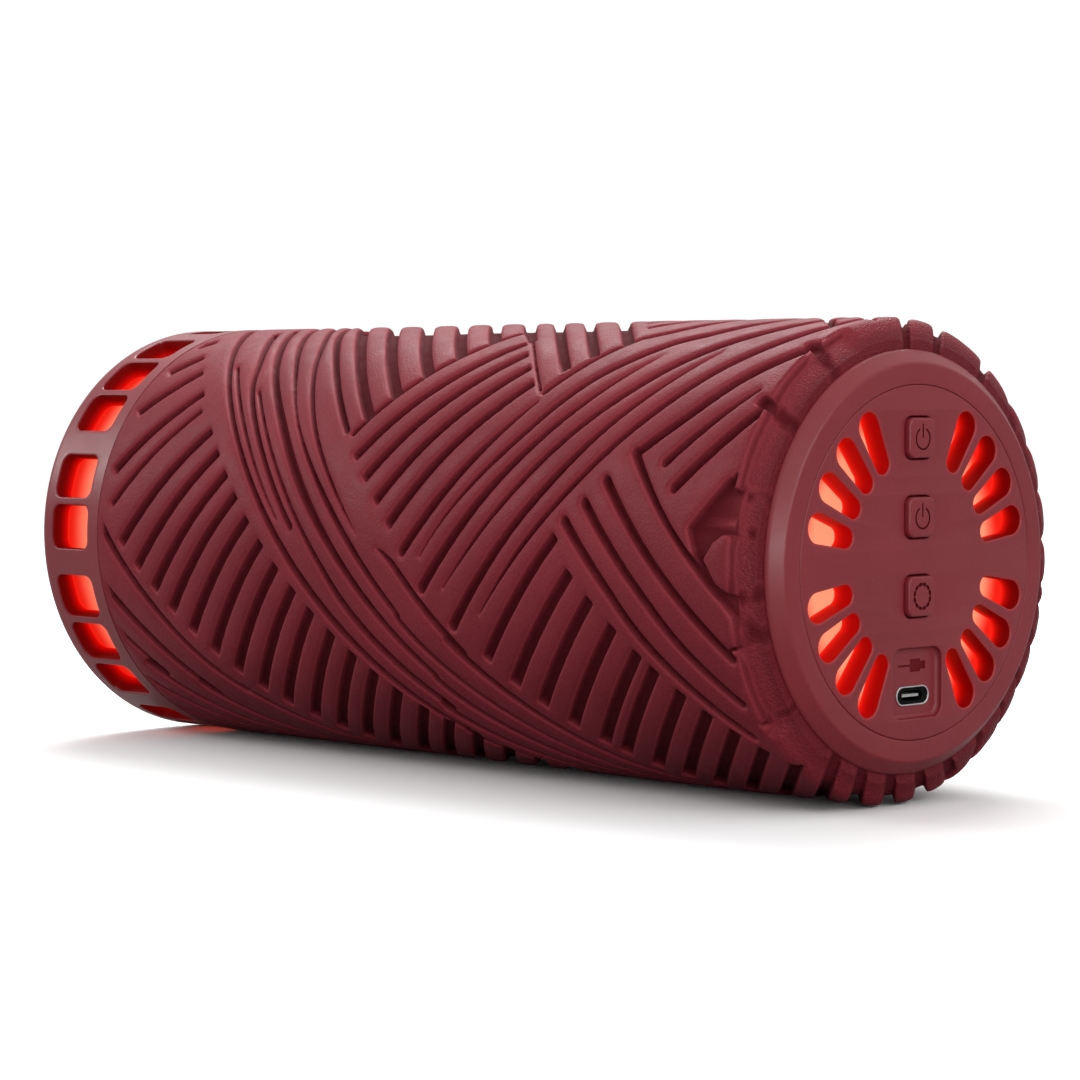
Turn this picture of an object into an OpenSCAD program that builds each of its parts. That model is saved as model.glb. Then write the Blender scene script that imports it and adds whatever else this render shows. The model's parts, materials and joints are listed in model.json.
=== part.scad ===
// Vibrating foam roller with a lit control cap at one end and a lit window band at the other.
// The roller lies on its side: its axis runs along X, the control cap faces +X, the floor is z = 0.

/* [Roller] */
// Diameter over the tops of the foam ridges
roller_d = 130; // [124:1:140]
// Length from the far end's face to the control cap's face
body_len = 304; // [296:1:330]
// Number of small flats that the ridge tops make around the sleeve
sleeve_flats = 32; // [24:4:48]

/* [Foam sleeve and core tube] */
// Thickness of the foam, ridges included
foam_t = 14; // [12:0.5:14]
// Wall of the core tube
tube_wall = 3; // [2:0.5:3]
// How far the control cap stands out of the foam
cap_proud = 4; // [3:0.5:5]
// Chamfer of the foam at its two ends, along the axis
foam_chamfer = 4.5; // [2:0.5:6]

/* [Far end] */
// Length of the smooth band at the far end
band_len = 30; // [29:0.5:32]
// Length of a window along the axis
window_len = 19.5; // [16:0.5:20]
// Arc that one window takes, in degrees
window_arc = 12.4; // [10:0.1:13]
// Angle between neighbouring windows of one group, in degrees
window_pitch = 14.4; // [14:0.1:15]
// Corner radius of a window
window_corner = 3.2; // [1:0.1:4]

/* [Control cap] */
// Outer diameter of the cap ring
cap_d = 112.2; // [108:0.2:114]
// Diameter of the disc set into the ring
disc_d = 93.5; // [93:0.1:94]
// Thickness of the disc
disc_t = 3; // [3:0.1:4]
// Distance from the axis to the centre of a light slot's narrow end
slot_in = 29.9; // [29.5:0.1:31]
// Distance from the axis to the centre of a light slot's wide end
slot_out = 40.8; // [39:0.1:41]
// Half-width of a slot at its narrow end
slot_r_in = 2.8; // [2:0.1:3]
// Half-width of a slot at its wide end
slot_r_out = 4; // [3:0.1:4.2]
// Angle from the level line to the first slot, in degrees
slot_first = 14.4; // [13:0.1:16]
// Angle between neighbouring slots, in degrees
slot_pitch = 15.5; // [15:0.1:16]

/* [Buttons] */
// Width of a button
button_w = 10.6; // [9:0.1:11]
// How far a button stands out of the disc
button_proud = 2.2; // [1:0.1:3]
// Travel of a button
button_travel = 0.8; // [0.3:0.1:0.8]
// Gap between a button and the edge of its opening
button_gap = 0.4; // [0.3:0.05:0.6]
// Height of the top button above the axis
button_top_z = 32.8; // [32:0.1:34]
// Distance from one button to the next
button_pitch = 20.8; // [20:0.1:22]

/* [Charging port] */
// Distance from the axis down to the port
port_drop = 35.1; // [34:0.1:36]
// Width of the pocket around the port
pocket_w = 20.2; // [18:0.1:21]
// Height of the pocket
pocket_h = 18.6; // [16:0.1:19]
// Depth of the pocket
pocket_depth = 2; // [1:0.1:2]

/* [Motor] */
// Diameter of the motor
motor_d = 40; // [36:1:42]
// Length of the motor's can
motor_len = 56; // [48:1:60]
// Diameter of the motor's shaft
shaft_d = 5; // [4:0.5:6]
// Radius of the eccentric weights
weight_r = 17; // [12:0.5:17]

/* [Hidden] */
$fn = 96;
e = 0.01;                                  // overshoot of a cut past the face it opens

roller_r = roller_d / 2;
half_len = (body_len + button_proud) / 2;
x_far = -half_len;                         // face of the far end
x_face = half_len - button_proud;          // face of the control cap
foam_x0 = x_far + band_len;
foam_x1 = x_face - cap_proud;
tube_r = roller_r - foam_t;
bore_r = tube_r - tube_wall;
flat_corner_r = roller_r / cos(180 / sleeve_flats);

tube_x0 = x_far + 6.3;
tube_x1 = x_face - 10;
ledge_r = bore_r - 3.2;                    // inside of the ring's spigot, which the disc rests on
disc_r = disc_d / 2;
disc_gap = 0.2;
disc_x = x_face - disc_t;                  // back of the disc
cap_r = cap_d / 2;

band_r = roller_r - 0.3;
band_wall = 3;
baffle_t = 2.8;
diffuser_t = 2;
skin_gap = 0.2;                            // gap between neighbouring moulded shells
baffle_r = band_r - band_wall - skin_gap;
diffuser_r = baffle_r - baffle_t - skin_gap;
window_x = x_far + 6.3 + window_len / 2;
led_hole_x = window_x + 3;                 // where the light strip's wires pass through the tube
group_sizes = [2, 3, 3, 3, 2, 3, 3, 3];
in_group_gaps = 14;
group_pitch = (360 - in_group_gaps * window_pitch) / len(group_sizes);
first_window = 80.5 - window_pitch / 2;
stop_t = 2.5;
web_x = x_far + 3.7;                       // outer face of the far end's inner wall
web_t = 2.5;

guide_gap = 0.1;                           // gap between disc, baffle and diffuser
baffle_depth = 3.3;
baffle_x1 = disc_x - guide_gap;
baffle_x0 = baffle_x1 - baffle_depth;
near_diffuser_t = 1.5;
near_diffuser_x1 = baffle_x0 - guide_gap;
guide_in = 25.5;
guide_out = disc_r - 1.6;
column_w = 19.5;                           // clear width for the button column
retainer_in = ledge_r - 1.6;
retainer_t = 0.8;
retainer_x1 = near_diffuser_x1 - near_diffuser_t - guide_gap;
ledge_x = retainer_x1 - retainer_t;        // step in the ring that the retainer rests on

board_t = 1.6;
board_x1 = x_face - 12;                    // front of the control board
board_x0 = board_x1 - board_t;
board_r = 42.6;
boss_places = [for (y = [-16, 16], z = [-12, 12]) [y, z]];
boss_r = 3.2;
led_ring_r = (slot_in + slot_out) / 2 - 1;
led_size = 3.5;
led_t = 1.4;
slot_angles = [for (i = [0:3]) slot_first + i * slot_pitch];

button_zs = [for (i = [0:2]) button_top_z - i * button_pitch];
button_corner = 2.2;
flange_w = 12.8;
flange_x1 = disc_x - 0.3;
flange_t = 1.7;
stem_r = 2.6;
mat_t = 0.8;
mat_x1 = disc_x - 3;
plunger_r = 1.75;
plunger_x1 = board_x1 + 4.6;
plunger_len = 3.1;
switch_h = 3.5;
switch_w = 6.2;
icon_depth = 0.3;
icon_r = 2.7;
icon_line = 0.45;

port_w = 8.94;
port_h = 3.26;
port_wall = 0.3;
trim_w = 13.4;
trim_h = 5.2;
trim_wall = 0.5;
pocket_corner = 3.4;
pocket_z = -31.7;
pocket_x = x_face - pocket_depth;          // floor of the pocket
symbol_z = -27.6;                          // middle of the plug symbol over the port

motor_x = -40;                             // middle of the motor
motor_r = motor_d / 2;
can_wall = 1.6;
bell_t = 4;
bearing_r = 5.5;
bearing_t = 3.5;
shaft_r = shaft_d / 2;
running_gap = 0.05;
weight_t = 16;
weight_gap = 3;
saddle_t = 6;
saddle_x = 18;                             // middle of a motor saddle, from the middle of the motor
clamp_t = 2.6;
clamp_ear = 31;
clamp_screw_y = 27;

chassis_r = bore_r - 0.6;
chassis_wall = 2.4;
chassis_x0 = x_far + 18;
chassis_x1 = 122;
chassis_top = -8;                          // height of the trough's edges from the axis

cell_d = 18.4;
cell_len = 65.2;
cell_x0 = 42;
cell_step = 18.8;
pack_z = -15;                              // middle of the battery from the axis
tray_wall = 1.6;
tray_in = 2 * cell_step + 0.2;
tray_x0 = cell_x0 - 3.4;
tray_x1 = cell_x0 + cell_len + 3.4;
strap_x = cell_x0 + cell_len / 2;
strap_w = 12;
strap_screw_y = 30;
rib_top = -10;

// Places a flat outline, drawn as [y, z] from the axis, across the roller from x0 to x1.
module across(x0, x1) {
    translate([x0, 0, roller_r]) rotate([90, 0, 90]) linear_extrude(x1 - x0) children();
}

// Turns a profile, drawn as [radius, x], around the roller's axis.
module lathe() {
    translate([0, 0, roller_r]) rotate([0, 90, 0]) rotate_extrude() children();
}

// Places children at an angle from the top over the front (-Y) side, with +Z pointing outwards.
module at_angle(x, angle) {
    translate([x, 0, roller_r]) rotate([angle, 0, 0]) children();
}

module rounded_rect(w, h, r) {
    square([w - 2 * r, h], center = true);
    square([w, h - 2 * r], center = true);
    for (sx = [-1, 1], sy = [-1, 1]) translate([sx * (w / 2 - r), sy * (h / 2 - r)]) circle(r);
}

module stadium(w, h) {
    square([w - h, h], center = true);
    for (s = [-1, 1]) translate([s * (w - h) / 2, 0]) circle(h / 2);
}

module ring_outline(r_out, r_in) {
    difference() { circle(r_out); circle(r_in); }
}

// A pan-head screw along +Z, its head below z = 0 and its shank above.
module pan_screw(shank_r, shank_len, head_r, head_t) {
    difference() {
        union() {
            translate([0, 0, -head_t]) cylinder(r = head_r, h = head_t);
            translate([0, 0, -e]) cylinder(r = shank_r, h = shank_len + e);
        }
        for (a = [0, 90]) rotate(a) translate([-head_r * 0.6, -0.25, -head_t - e])
            cube([head_r * 1.2, 0.5, head_t * 0.5]);
    }
}

function unit(v) = v / norm(v);

// Five points of a smooth bend at corner p, on the way from a to b.
function bend(a, p, b, d) =
    let (s = p + d * unit(a - p), f = p + d * unit(b - p))
    [for (t = [0:0.25:1]) (1 - t) * (1 - t) * s + 2 * t * (1 - t) * p + t * t * f];

function bent_route(p, d) = [
    p[0],
    for (i = [1:1:len(p) - 2]) each bend(p[i - 1], p[i], p[i + 1], d),
    p[len(p) - 1]
];

function heading(p, i) = unit(p[min(i + 1, len(p) - 1)] - p[max(i - 1, 0)]);

// A wire of radius r: an eight-sided tube swept along a route that turns with small bends.
module wire(points, r) {
    sides = 8;
    route = bent_route(points, 2);
    rings = len(route);
    skin = [for (i = [0:rings - 1])
        let (t = heading(route, i), u = unit(cross(t, [0, 1, 0])), v = cross(u, t))
        for (k = [0:sides - 1]) route[i] + r * (cos(k * 360 / sides) * u + sin(k * 360 / sides) * v)];
    polyhedron(skin, concat(
        [[for (k = [0:sides - 1]) k]],
        [for (i = [0:rings - 2], k = [0:sides - 1])
            [i * sides + k, (i + 1) * sides + k,
             (i + 1) * sides + (k + 1) % sides, i * sides + (k + 1) % sides]],
        [[for (k = [sides - 1:-1:0]) (rings - 1) * sides + k]]));
}

// ---- Foam sleeve and core tube ----

module foam_sleeve() {
    lip = foam_t * 0.45;
    color([0.42, 0.16, 0.19]) intersection() {
        across(foam_x0, foam_x1) difference() {
            polygon([for (i = [0:sleeve_flats - 1])
                let (a = (i + 0.5) * 360 / sleeve_flats) flat_corner_r * [cos(a), sin(a)]]);
            circle(tube_r);
        }
        lathe() polygon([
            [0, foam_x0], [roller_r - 0.5, foam_x0], [roller_r + 1, foam_x0 + 2.5],
            [roller_r + 1, foam_x1 - foam_chamfer], [cap_r + lip / 2, foam_x1 - 0.6],
            [cap_r + 1, foam_x1], [0, foam_x1]
        ]);
    }
}

module core_tube() {
    color([0.16, 0.16, 0.17]) difference() {
        lathe() translate([bore_r, tube_x0]) square([tube_wall, tube_x1 - tube_x0]);
        for (a = [30, 150, 270]) {
            at_angle(tube_x1 - 5, a) translate([0, 0, bore_r - 1]) cylinder(r = 1.3, h = tube_wall + 2);
            at_angle(tube_x1 - 5, a) translate([0, 0, tube_r - 1.3]) cylinder(r = 2.7, h = 2);
        }
        at_angle(led_hole_x, 0) translate([0, 0, bore_r - 1]) cylinder(r = 2.5, h = tube_wall + 2);
    }
}

// ---- Far end ----

module window_outline() {
    rounded_rect(window_len, 2 * band_r * sin(window_arc / 2), window_corner);
}

function windows_before(g) = g == 0 ? 0 : windows_before(g - 1) + group_sizes[g - 1];
function window_angle(g, i) =
    first_window + g * group_pitch + (windows_before(g) - g + i) * window_pitch;
window_angles = [for (g = [0:len(group_sizes) - 1], i = [0:group_sizes[g] - 1]) window_angle(g, i)];

module window_cuts(r0, r1) {
    for (a = window_angles) at_angle(window_x, a)
        translate([0, 0, r0]) linear_extrude(r1 - r0) window_outline();
}

module far_shell() {
    edge = 3;
    color([0.42, 0.16, 0.19]) difference() {
        lathe() {
            polygon([
                [band_r - edge, x_far], [band_r - edge * 0.3, x_far + edge * 0.3], [band_r, x_far + edge],
                [band_r, foam_x0], [band_r - band_wall, foam_x0], [band_r - band_wall, x_far + band_wall],
                [tube_r - 1, x_far + band_wall], [tube_r - 1, web_x + web_t],
                [bore_r - 0.1, web_x + web_t], [bore_r - 0.1, web_x + web_t + 10],
                [ledge_r, web_x + web_t + 10], [ledge_r, web_x + web_t], [0, web_x + web_t], [0, web_x],
                [disc_r + disc_gap, web_x], [disc_r + disc_gap, x_far]
            ]);
        }
        window_cuts(band_r - band_wall - 1, band_r + 1);
        for (a = [60, 180, 300]) at_angle(web_x - 1, a) translate([0, 0, 30])
            rotate([0, 90, 0]) cylinder(r = 1.7, h = web_t + 2);
    }
}

module far_cover() {
    color([0.42, 0.16, 0.19]) {
        across(x_far, x_far + 2) circle(disc_r);
        across(x_far + 2 - e, web_x) ring_outline(disc_r, disc_r - 2);
    }
}

module far_cover_screws() {
    color([0.75, 0.76, 0.78]) for (a = [60, 180, 300])
        at_angle(web_x, a) translate([0, 0, 30]) rotate([0, 90, 0]) pan_screw(1.5, 12, 2.8, 1.5);
}

module far_baffle() {
    color([0.62, 0.05, 0.05]) difference() {
        lathe() translate([baffle_r - baffle_t, x_far + band_wall + 0.2])
            square([baffle_t, band_len - band_wall - stop_t - 0.4]);
        window_cuts(baffle_r - baffle_t - 1, baffle_r + 1);
    }
}

module far_diffuser() {
    color([1, 0.36, 0.22]) lathe() translate([diffuser_r - diffuser_t, x_far + band_wall + 0.2])
        square([diffuser_t, band_len - band_wall - stop_t - 0.4]);
}

module far_led_strip() {
    color([0.9, 0.88, 0.8]) lathe() translate([tube_r, window_x - 6]) square([0.35, 12]);
}

module far_leds() {
    color([0.95, 0.93, 0.75]) for (a = window_angles) at_angle(window_x, a)
        translate([-led_size / 2, -led_size / 2, tube_r + 0.38]) cube([led_size, led_size, led_t]);
}

module sleeve_stop_ring() {
    color([0.2, 0.08, 0.09]) lathe() translate([tube_r + 0.05, foam_x0 - stop_t])
        square([baffle_r - tube_r - 0.05, stop_t]);
}

// ---- Control cap ----

module cap_ring() {
    bevel = 3.4;
    color([0.42, 0.16, 0.19]) difference() {
        lathe() polygon([
            [ledge_r, tube_x1 - 10], [bore_r - 0.1, tube_x1 - 10], [bore_r - 0.1, tube_x1],
            [tube_r - 0.05, tube_x1], [tube_r - 0.05, foam_x1], [cap_r, foam_x1],
            [cap_r, x_face - bevel * 0.8], [cap_r - bevel * 0.35, x_face - bevel * 0.25],
            [cap_r - bevel, x_face], [disc_r + disc_gap, x_face],
            [disc_r + disc_gap, ledge_x - 0.02], [ledge_r, ledge_x - 0.02]
        ]);
        for (a = [30, 150, 270]) at_angle(tube_x1 - 5, a)
            translate([0, 0, ledge_r - 1]) cylinder(r = 1.27, h = bore_r - ledge_r + 2);
    }
}

module slot_outline() {
    lean = asin((slot_r_out - slot_r_in) / (slot_out - slot_in));
    tuck = 0.99;                           // keeps the straight sides' ends just inside the two circles
    translate([slot_in, 0]) circle(slot_r_in);
    translate([slot_out, 0]) circle(slot_r_out);
    polygon([for (end = [[slot_in, slot_r_in, 1], [slot_out, slot_r_out, 1],
                         [slot_out, slot_r_out, -1], [slot_in, slot_r_in, -1]])
        [end[0] - tuck * end[1] * sin(lean), end[2] * tuck * end[1] * cos(lean)]]);
}

module slot_outlines() {
    for (side = [0, 1], up = [-1, 1], a = slot_angles)
        mirror([side, 0]) rotate(up * a) slot_outline();
}

module button_outline(margin = 0) {
    rounded_rect(button_w + 2 * margin, button_w + 2 * margin, button_corner + margin);
}

// Plug on a short cable, engraved over the port.
module plug_symbol() {
    body = [3.4, 2.6];
    tip = [1.7, 1.7];
    cable = [4.2, 0.5];
    square(body, center = true);
    translate([body.x / 2 + tip.x / 2 - e, 0]) square(tip, center = true);
    translate([-body.x / 2 - cable.x / 2 + e, 0]) square(cable, center = true);
}

module control_disc() {
    rib = 1.2;
    rib_in = [2 * 7.4, 57.6];
    mid_z = button_zs[1];
    color([0.42, 0.16, 0.19]) {
        difference() {
            union() {
                across(disc_x, x_face) circle(disc_r);
                across(disc_x - 2.2, disc_x + e) translate([0, pocket_z])
                    rounded_rect(pocket_w - 2, pocket_h - 1, pocket_corner);
            }
            across(disc_x - 1, x_face + 1) slot_outlines();
            for (z = button_zs) across(disc_x - 1, x_face + 1)
                translate([0, z]) button_outline(button_gap);
            across(pocket_x, x_face + 1) translate([0, pocket_z])
                rounded_rect(pocket_w, pocket_h, pocket_corner);
            across(disc_x - 4, x_face + 1) translate([0, -port_drop]) stadium(trim_w, trim_h);
            across(pocket_x - icon_depth, x_face + 1) translate([0, symbol_z]) plug_symbol();
        }
        // rib frame that holds the button mat
        across(mat_x1, disc_x + e) translate([0, mid_z]) difference() {
            square([rib_in.x + 2 * rib, rib_in.y + 2 * rib], center = true);
            square([rib_in.x, rib_in.y], center = true);
        }
        // screw bosses for the board
        difference() {
            across(board_x1, disc_x + e) for (p = boss_places) translate(p) circle(boss_r);
            across(board_x1 - 1, disc_x - 1) for (p = boss_places) translate(p) circle(1.02);
        }
        // rim around the light guides
        across(retainer_x1, disc_x + e) ring_outline(disc_r, guide_out + 0.1);
    }
}

// Ring that is welded to the disc's rim behind the light guides, and snaps behind the spigot.
module cap_retainer() {
    hook_w = 9;
    skirt_r = ledge_r - 0.2;
    hook_x0 = tube_x1 - 12.4;
    color([0.2, 0.08, 0.09]) {
        across(ledge_x, retainer_x1) ring_outline(disc_r, retainer_in);
        across(board_x0 - 3, ledge_x + e) ring_outline(skirt_r, retainer_in);
        across(hook_x0, board_x0 - 3 + e) intersection() {
            ring_outline(skirt_r, retainer_in);
            for (a = [0, 90]) rotate(a) square([hook_w, 2 * tube_r], center = true);
        }
        across(hook_x0, tube_x1 - 10.2) intersection() {
            ring_outline(skirt_r + 1.6, retainer_in);
            for (a = [0, 90]) rotate(a) square([hook_w, 2 * tube_r], center = true);
        }
    }
}

// Half-ring light guides, one on each side of the button column.
module guide_outline() {
    difference() {
        ring_outline(guide_out, guide_in);
        square([column_w, 2 * tube_r], center = true);
    }
}

module slot_baffles() {
    color([0.62, 0.05, 0.05]) across(baffle_x0, baffle_x1) difference() {
        guide_outline();
        slot_outlines();
    }
}

module near_diffusers() {
    color([1, 0.36, 0.22]) across(near_diffuser_x1 - near_diffuser_t, near_diffuser_x1) guide_outline();
}

module near_leds() {
    color([0.95, 0.93, 0.75]) across(board_x1, board_x1 + led_t)
        for (side = [0, 1], up = [-1, 1], a = slot_angles) mirror([side, 0]) rotate(up * a)
            translate([led_ring_r, 0]) square(led_size, center = true);
}

module button_mat() {
    color([0.25, 0.25, 0.27]) across(mat_x1 - mat_t, mat_x1) translate([0, button_zs[1]]) difference() {
        square([16.8, 59.6], center = true);
        for (i = [-1, 0, 1]) translate([0, i * button_pitch]) circle(stem_r + 0.3);
    }
}

// Generic icons, engraved 0.3 mm deep.
module power_icon() {
    difference() {
        ring_outline(icon_r, icon_r - icon_line);
        translate([0, icon_r]) square([icon_r * 0.62, icon_r * 1.2], center = true);
    }
    translate([0, icon_r * 0.62]) square([icon_line, icon_r * 1.15], center = true);
}

module dot_ring_icon() {
    for (i = [0:11]) rotate(i * 30) translate([icon_r, 0]) circle(0.32, $fn = 24);
}

module button(z) {
    color([0.42, 0.16, 0.19]) {
        difference() {
            across(flange_x1 - flange_t + e, half_len) translate([0, z]) button_outline();
            across(half_len - icon_depth, half_len + 1) translate([0, z]) children();
        }
        across(flange_x1 - flange_t, flange_x1) translate([0, z])
            rounded_rect(flange_w, flange_w, button_corner + 0.5);
        across(plunger_x1, flange_x1 - flange_t + e) translate([0, z]) circle(stem_r);
    }
}

module vibration_button() { button(button_zs[0]) power_icon(); }
module light_button() { button(button_zs[1]) power_icon(); }
module mode_button() { button(button_zs[2]) dot_ring_icon(); }

module plunger(z) {
    color([0.12, 0.12, 0.13]) across(plunger_x1 - plunger_len, plunger_x1)
        translate([0, z]) circle(plunger_r);
}

module vibration_plunger() { plunger(button_zs[0]); }
module light_plunger() { plunger(button_zs[1]); }
module mode_plunger() { plunger(button_zs[2]); }

module switch_bases() {
    color([0.8, 0.81, 0.83]) for (z = button_zs) difference() {
        across(board_x1, board_x1 + switch_h) translate([0, z]) square(switch_w, center = true);
        across(board_x1 + 0.4, board_x1 + switch_h + 1) translate([0, z]) circle(plunger_r + 0.1);
    }
}

module control_board() {
    color([0.05, 0.3, 0.16]) across(board_x0, board_x1) difference() {
        circle(board_r);
        for (p = boss_places) translate(p) circle(1.4);
    }
}

module board_chips() {
    // controller, charger, motor driver, choke, two connectors
    chips = [[-6, 20, 9, 9, 1.2], [10, 22, 6, 6, 1.2], [-24, 2, 8, 6, 1.6], [26, -4, 10, 10, 3.5],
             [-8, -26, 10, 5.5, 4], [8, -26, 10, 5.5, 4]];
    color([0.08, 0.08, 0.09]) for (c = chips) across(board_x0 - c[4], board_x0)
        translate([c[0], c[1]]) square([c[2], c[3]], center = true);
}

module board_screws() {
    color([0.75, 0.76, 0.78]) for (p = boss_places)
        translate([board_x0, p.x, roller_r + p.y]) rotate([0, 90, 0]) pan_screw(1, 7, 2.2, 1.3);
}

module cap_screws() {
    color([0.75, 0.76, 0.78]) for (a = [30, 150, 270]) at_angle(tube_x1 - 5, a)
        translate([0, 0, tube_r - 1.3]) rotate([180, 0, 0]) pan_screw(1.25, 4.6, 2.4, 1.2);
}

// ---- Charging port ----

module port_part(x0, x1) {
    across(x0, x1) translate([0, -port_drop]) children();
}

module usb_shell() {
    color([0.8, 0.81, 0.83]) {
        port_part(board_x1, pocket_x) difference() {
            stadium(port_w, port_h);
            stadium(port_w - 2 * port_wall, port_h - 2 * port_wall);
        }
    }
}

module usb_tongue() {
    color([0.3, 0.3, 0.32]) {
        port_part(board_x1, board_x1 + 2.4) stadium(port_w - 2 * port_wall - 0.04, port_h - 2 * port_wall - 0.04);
        port_part(board_x1 + 2.4 - e, pocket_x - 0.6) square([6.69, 0.7], center = true);
    }
}

module usb_insert() {
    color([0.05, 0.05, 0.055]) port_part(disc_x - 2.2, pocket_x - 0.1) difference() {
        stadium(trim_w - 2 * trim_wall - 0.04, trim_h - 2 * trim_wall - 0.04);
        stadium(port_w + 0.06, port_h + 0.06);
    }
}

module usb_trim() {
    color([0.85, 0.86, 0.88]) port_part(disc_x - 2.2, pocket_x + 0.4) difference() {
        stadium(trim_w - 0.04, trim_h - 0.04);
        stadium(trim_w - 2 * trim_wall, trim_h - 2 * trim_wall);
    }
}

// ---- Chassis ----

module below(z) {
    translate([-roller_r, z - roller_r]) square([roller_d, roller_r]);
}

module chassis() {
    saddles = [for (s = [-1, 1]) motor_x + s * saddle_x];
    ribs = [cell_x0 + 4, strap_x, cell_x0 + cell_len - 4];
    color([0.2, 0.2, 0.22]) difference() {
        union() {
            across(chassis_x0, chassis_x1) intersection() {
                ring_outline(chassis_r, chassis_r - chassis_wall);
                below(chassis_top);
            }
            for (x = saddles) across(x - saddle_t / 2, x + saddle_t / 2) difference() {
                intersection() { circle(chassis_r - 1); below(0); }
                circle(motor_r + 0.1);
            }
            for (x = ribs) across(x - 3, x + 3) difference() {
                intersection() { circle(chassis_r - 1); below(rib_top); }
                translate([0, pack_z]) square(tray_in + 2 * tray_wall + 0.2, center = true);
            }
            across(chassis_x0, chassis_x0 + 4) difference() {
                ring_outline(chassis_r, 22);
                translate([0, chassis_r]) square([16, 60], center = true);
            }
            for (a = [60, 180, 300]) at_angle(web_x + web_t, a) translate([0, 0, 30])
                rotate([0, 90, 0]) cylinder(r = 4.2, h = chassis_x0 - web_x - web_t + 1);
        }
        for (a = [60, 180, 300]) at_angle(web_x, a) translate([0, 0, 30])
            rotate([0, 90, 0]) cylinder(r = 1.52, h = 14);
        for (x = saddles, y = [-clamp_screw_y, clamp_screw_y])
            translate([x, y, roller_r - 12]) cylinder(r = 1.52, h = 14);
        for (y = [-strap_screw_y, strap_screw_y])
            translate([strap_x, y, roller_r + rib_top - 9]) cylinder(r = 1.27, h = 10);
    }
}

// ---- Motor ----

can_x0 = motor_x - motor_len / 2;
can_x1 = motor_x + motor_len / 2;
shaft_x0 = can_x0 - bell_t - weight_gap - weight_t - 1;
shaft_x1 = can_x1 + bell_t + weight_gap + weight_t + 1;

module motor_can() {
    color([0.7, 0.71, 0.73]) across(can_x0, can_x1) ring_outline(motor_r, motor_r - can_wall);
}

module motor_magnets() {
    r1 = motor_r - can_wall;
    color([0.18, 0.18, 0.2]) across(can_x0 + 6, can_x1 - 6) difference() {
        ring_outline(r1, r1 - 4.4);
        square([2 * motor_d, 9], center = true);
    }
}

module bell(x0) {
    color([0.7, 0.71, 0.73]) across(x0, x0 + bell_t) ring_outline(motor_r, bearing_r);
}

module motor_bell_far() { bell(can_x0 - bell_t); }
module motor_bell_near() { bell(can_x1); }

module motor_bearings() {
    color([0.85, 0.86, 0.88]) for (x = [can_x0 - bell_t, can_x1 + bell_t - bearing_t])
        across(x, x + bearing_t) ring_outline(bearing_r, shaft_r + running_gap);
}

module weight_covers() {
    length = weight_gap + weight_t + 4;
    color([0.1, 0.1, 0.11]) {
        across(can_x0 - bell_t - length, can_x0 - bell_t) ring_outline(motor_r, motor_r - 1.4);
        across(can_x0 - bell_t - length, can_x0 - bell_t - length + 1.4) circle(motor_r - 1.4 + e);
        across(can_x1 + bell_t, can_x1 + bell_t + length) ring_outline(motor_r, motor_r - 1.4);
        across(can_x1 + bell_t + length - 1.4, can_x1 + bell_t + length) circle(motor_r - 1.4 + e);
    }
}

module motor_clamps() {
    color([0.75, 0.76, 0.78]) for (s = [-1, 1]) difference() {
        across(motor_x + s * saddle_x - saddle_t / 2, motor_x + s * saddle_x + saddle_t / 2) {
            difference() {
                ring_outline(motor_r + 0.1 + clamp_t, motor_r + 0.1);
                below(0.05);
            }
            for (m = [0, 1]) mirror([m, 0]) translate([motor_r + 1.5, 0.05])
                square([clamp_ear - motor_r - 1.5, clamp_t]);
        }
        for (y = [-clamp_screw_y, clamp_screw_y]) translate([motor_x + s * saddle_x, y, roller_r - 1])
            cylinder(r = 1.7, h = 8);
    }
}

module clamp_screws() {
    color([0.3, 0.3, 0.32]) for (s = [-1, 1], y = [-clamp_screw_y, clamp_screw_y])
        translate([motor_x + s * saddle_x, y, roller_r + 0.05 + clamp_t]) rotate([180, 0, 0])
            pan_screw(1.5, 12, 2.8, 1.6);
}

module rotor_shaft() {
    color([0.8, 0.81, 0.83]) across(shaft_x0, shaft_x1) circle(shaft_r);
}

module rotor_core() {
    color([0.72, 0.38, 0.18]) across(can_x0 + 8, can_x1 - 14) difference() {
        circle(motor_r - can_wall - 5.2);
        for (i = [0:4]) rotate(i * 72) translate([motor_r - can_wall - 6.4, 0]) square([4, 2], center = true);
        circle(shaft_r);
    }
}

module commutator() {
    color([0.85, 0.6, 0.35]) across(can_x1 - 13.9, can_x1 - 5) ring_outline(5, shaft_r);
}

module eccentric_weights() {
    color([0.65, 0.6, 0.5]) for (x = [can_x0 - bell_t - weight_gap - weight_t, can_x1 + bell_t + weight_gap])
        across(x, x + weight_t) difference() {
            union() {
                intersection() { circle(weight_r); below(-1); }
                circle(shaft_r + 3);
            }
            circle(shaft_r);
        }
}

// ---- Battery ----

module battery_cells() {
    color([0.1, 0.35, 0.6]) for (i = [-0.5, 0.5], j = [-0.5, 0.5]) {
        across(cell_x0, cell_x0 + cell_len)
            translate([i * cell_step, pack_z + j * cell_step]) circle(cell_d / 2);
    }
}

module battery_tray() {
    wall = tray_in + 2 * tray_wall;
    color([0.12, 0.12, 0.13]) difference() {
        across(tray_x0, tray_x1) translate([0, pack_z]) square([wall, wall], center = true);
        across(tray_x0 + 1.6, tray_x1 - 1.6) translate([0, pack_z + tray_wall / 2])
            square([tray_in, tray_in + tray_wall + e], center = true);
        across(tray_x1 - 2, tray_x1 + 1) translate([0, pack_z + tray_in / 2 - 6])
            square([24, 24], center = true);
    }
}

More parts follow.
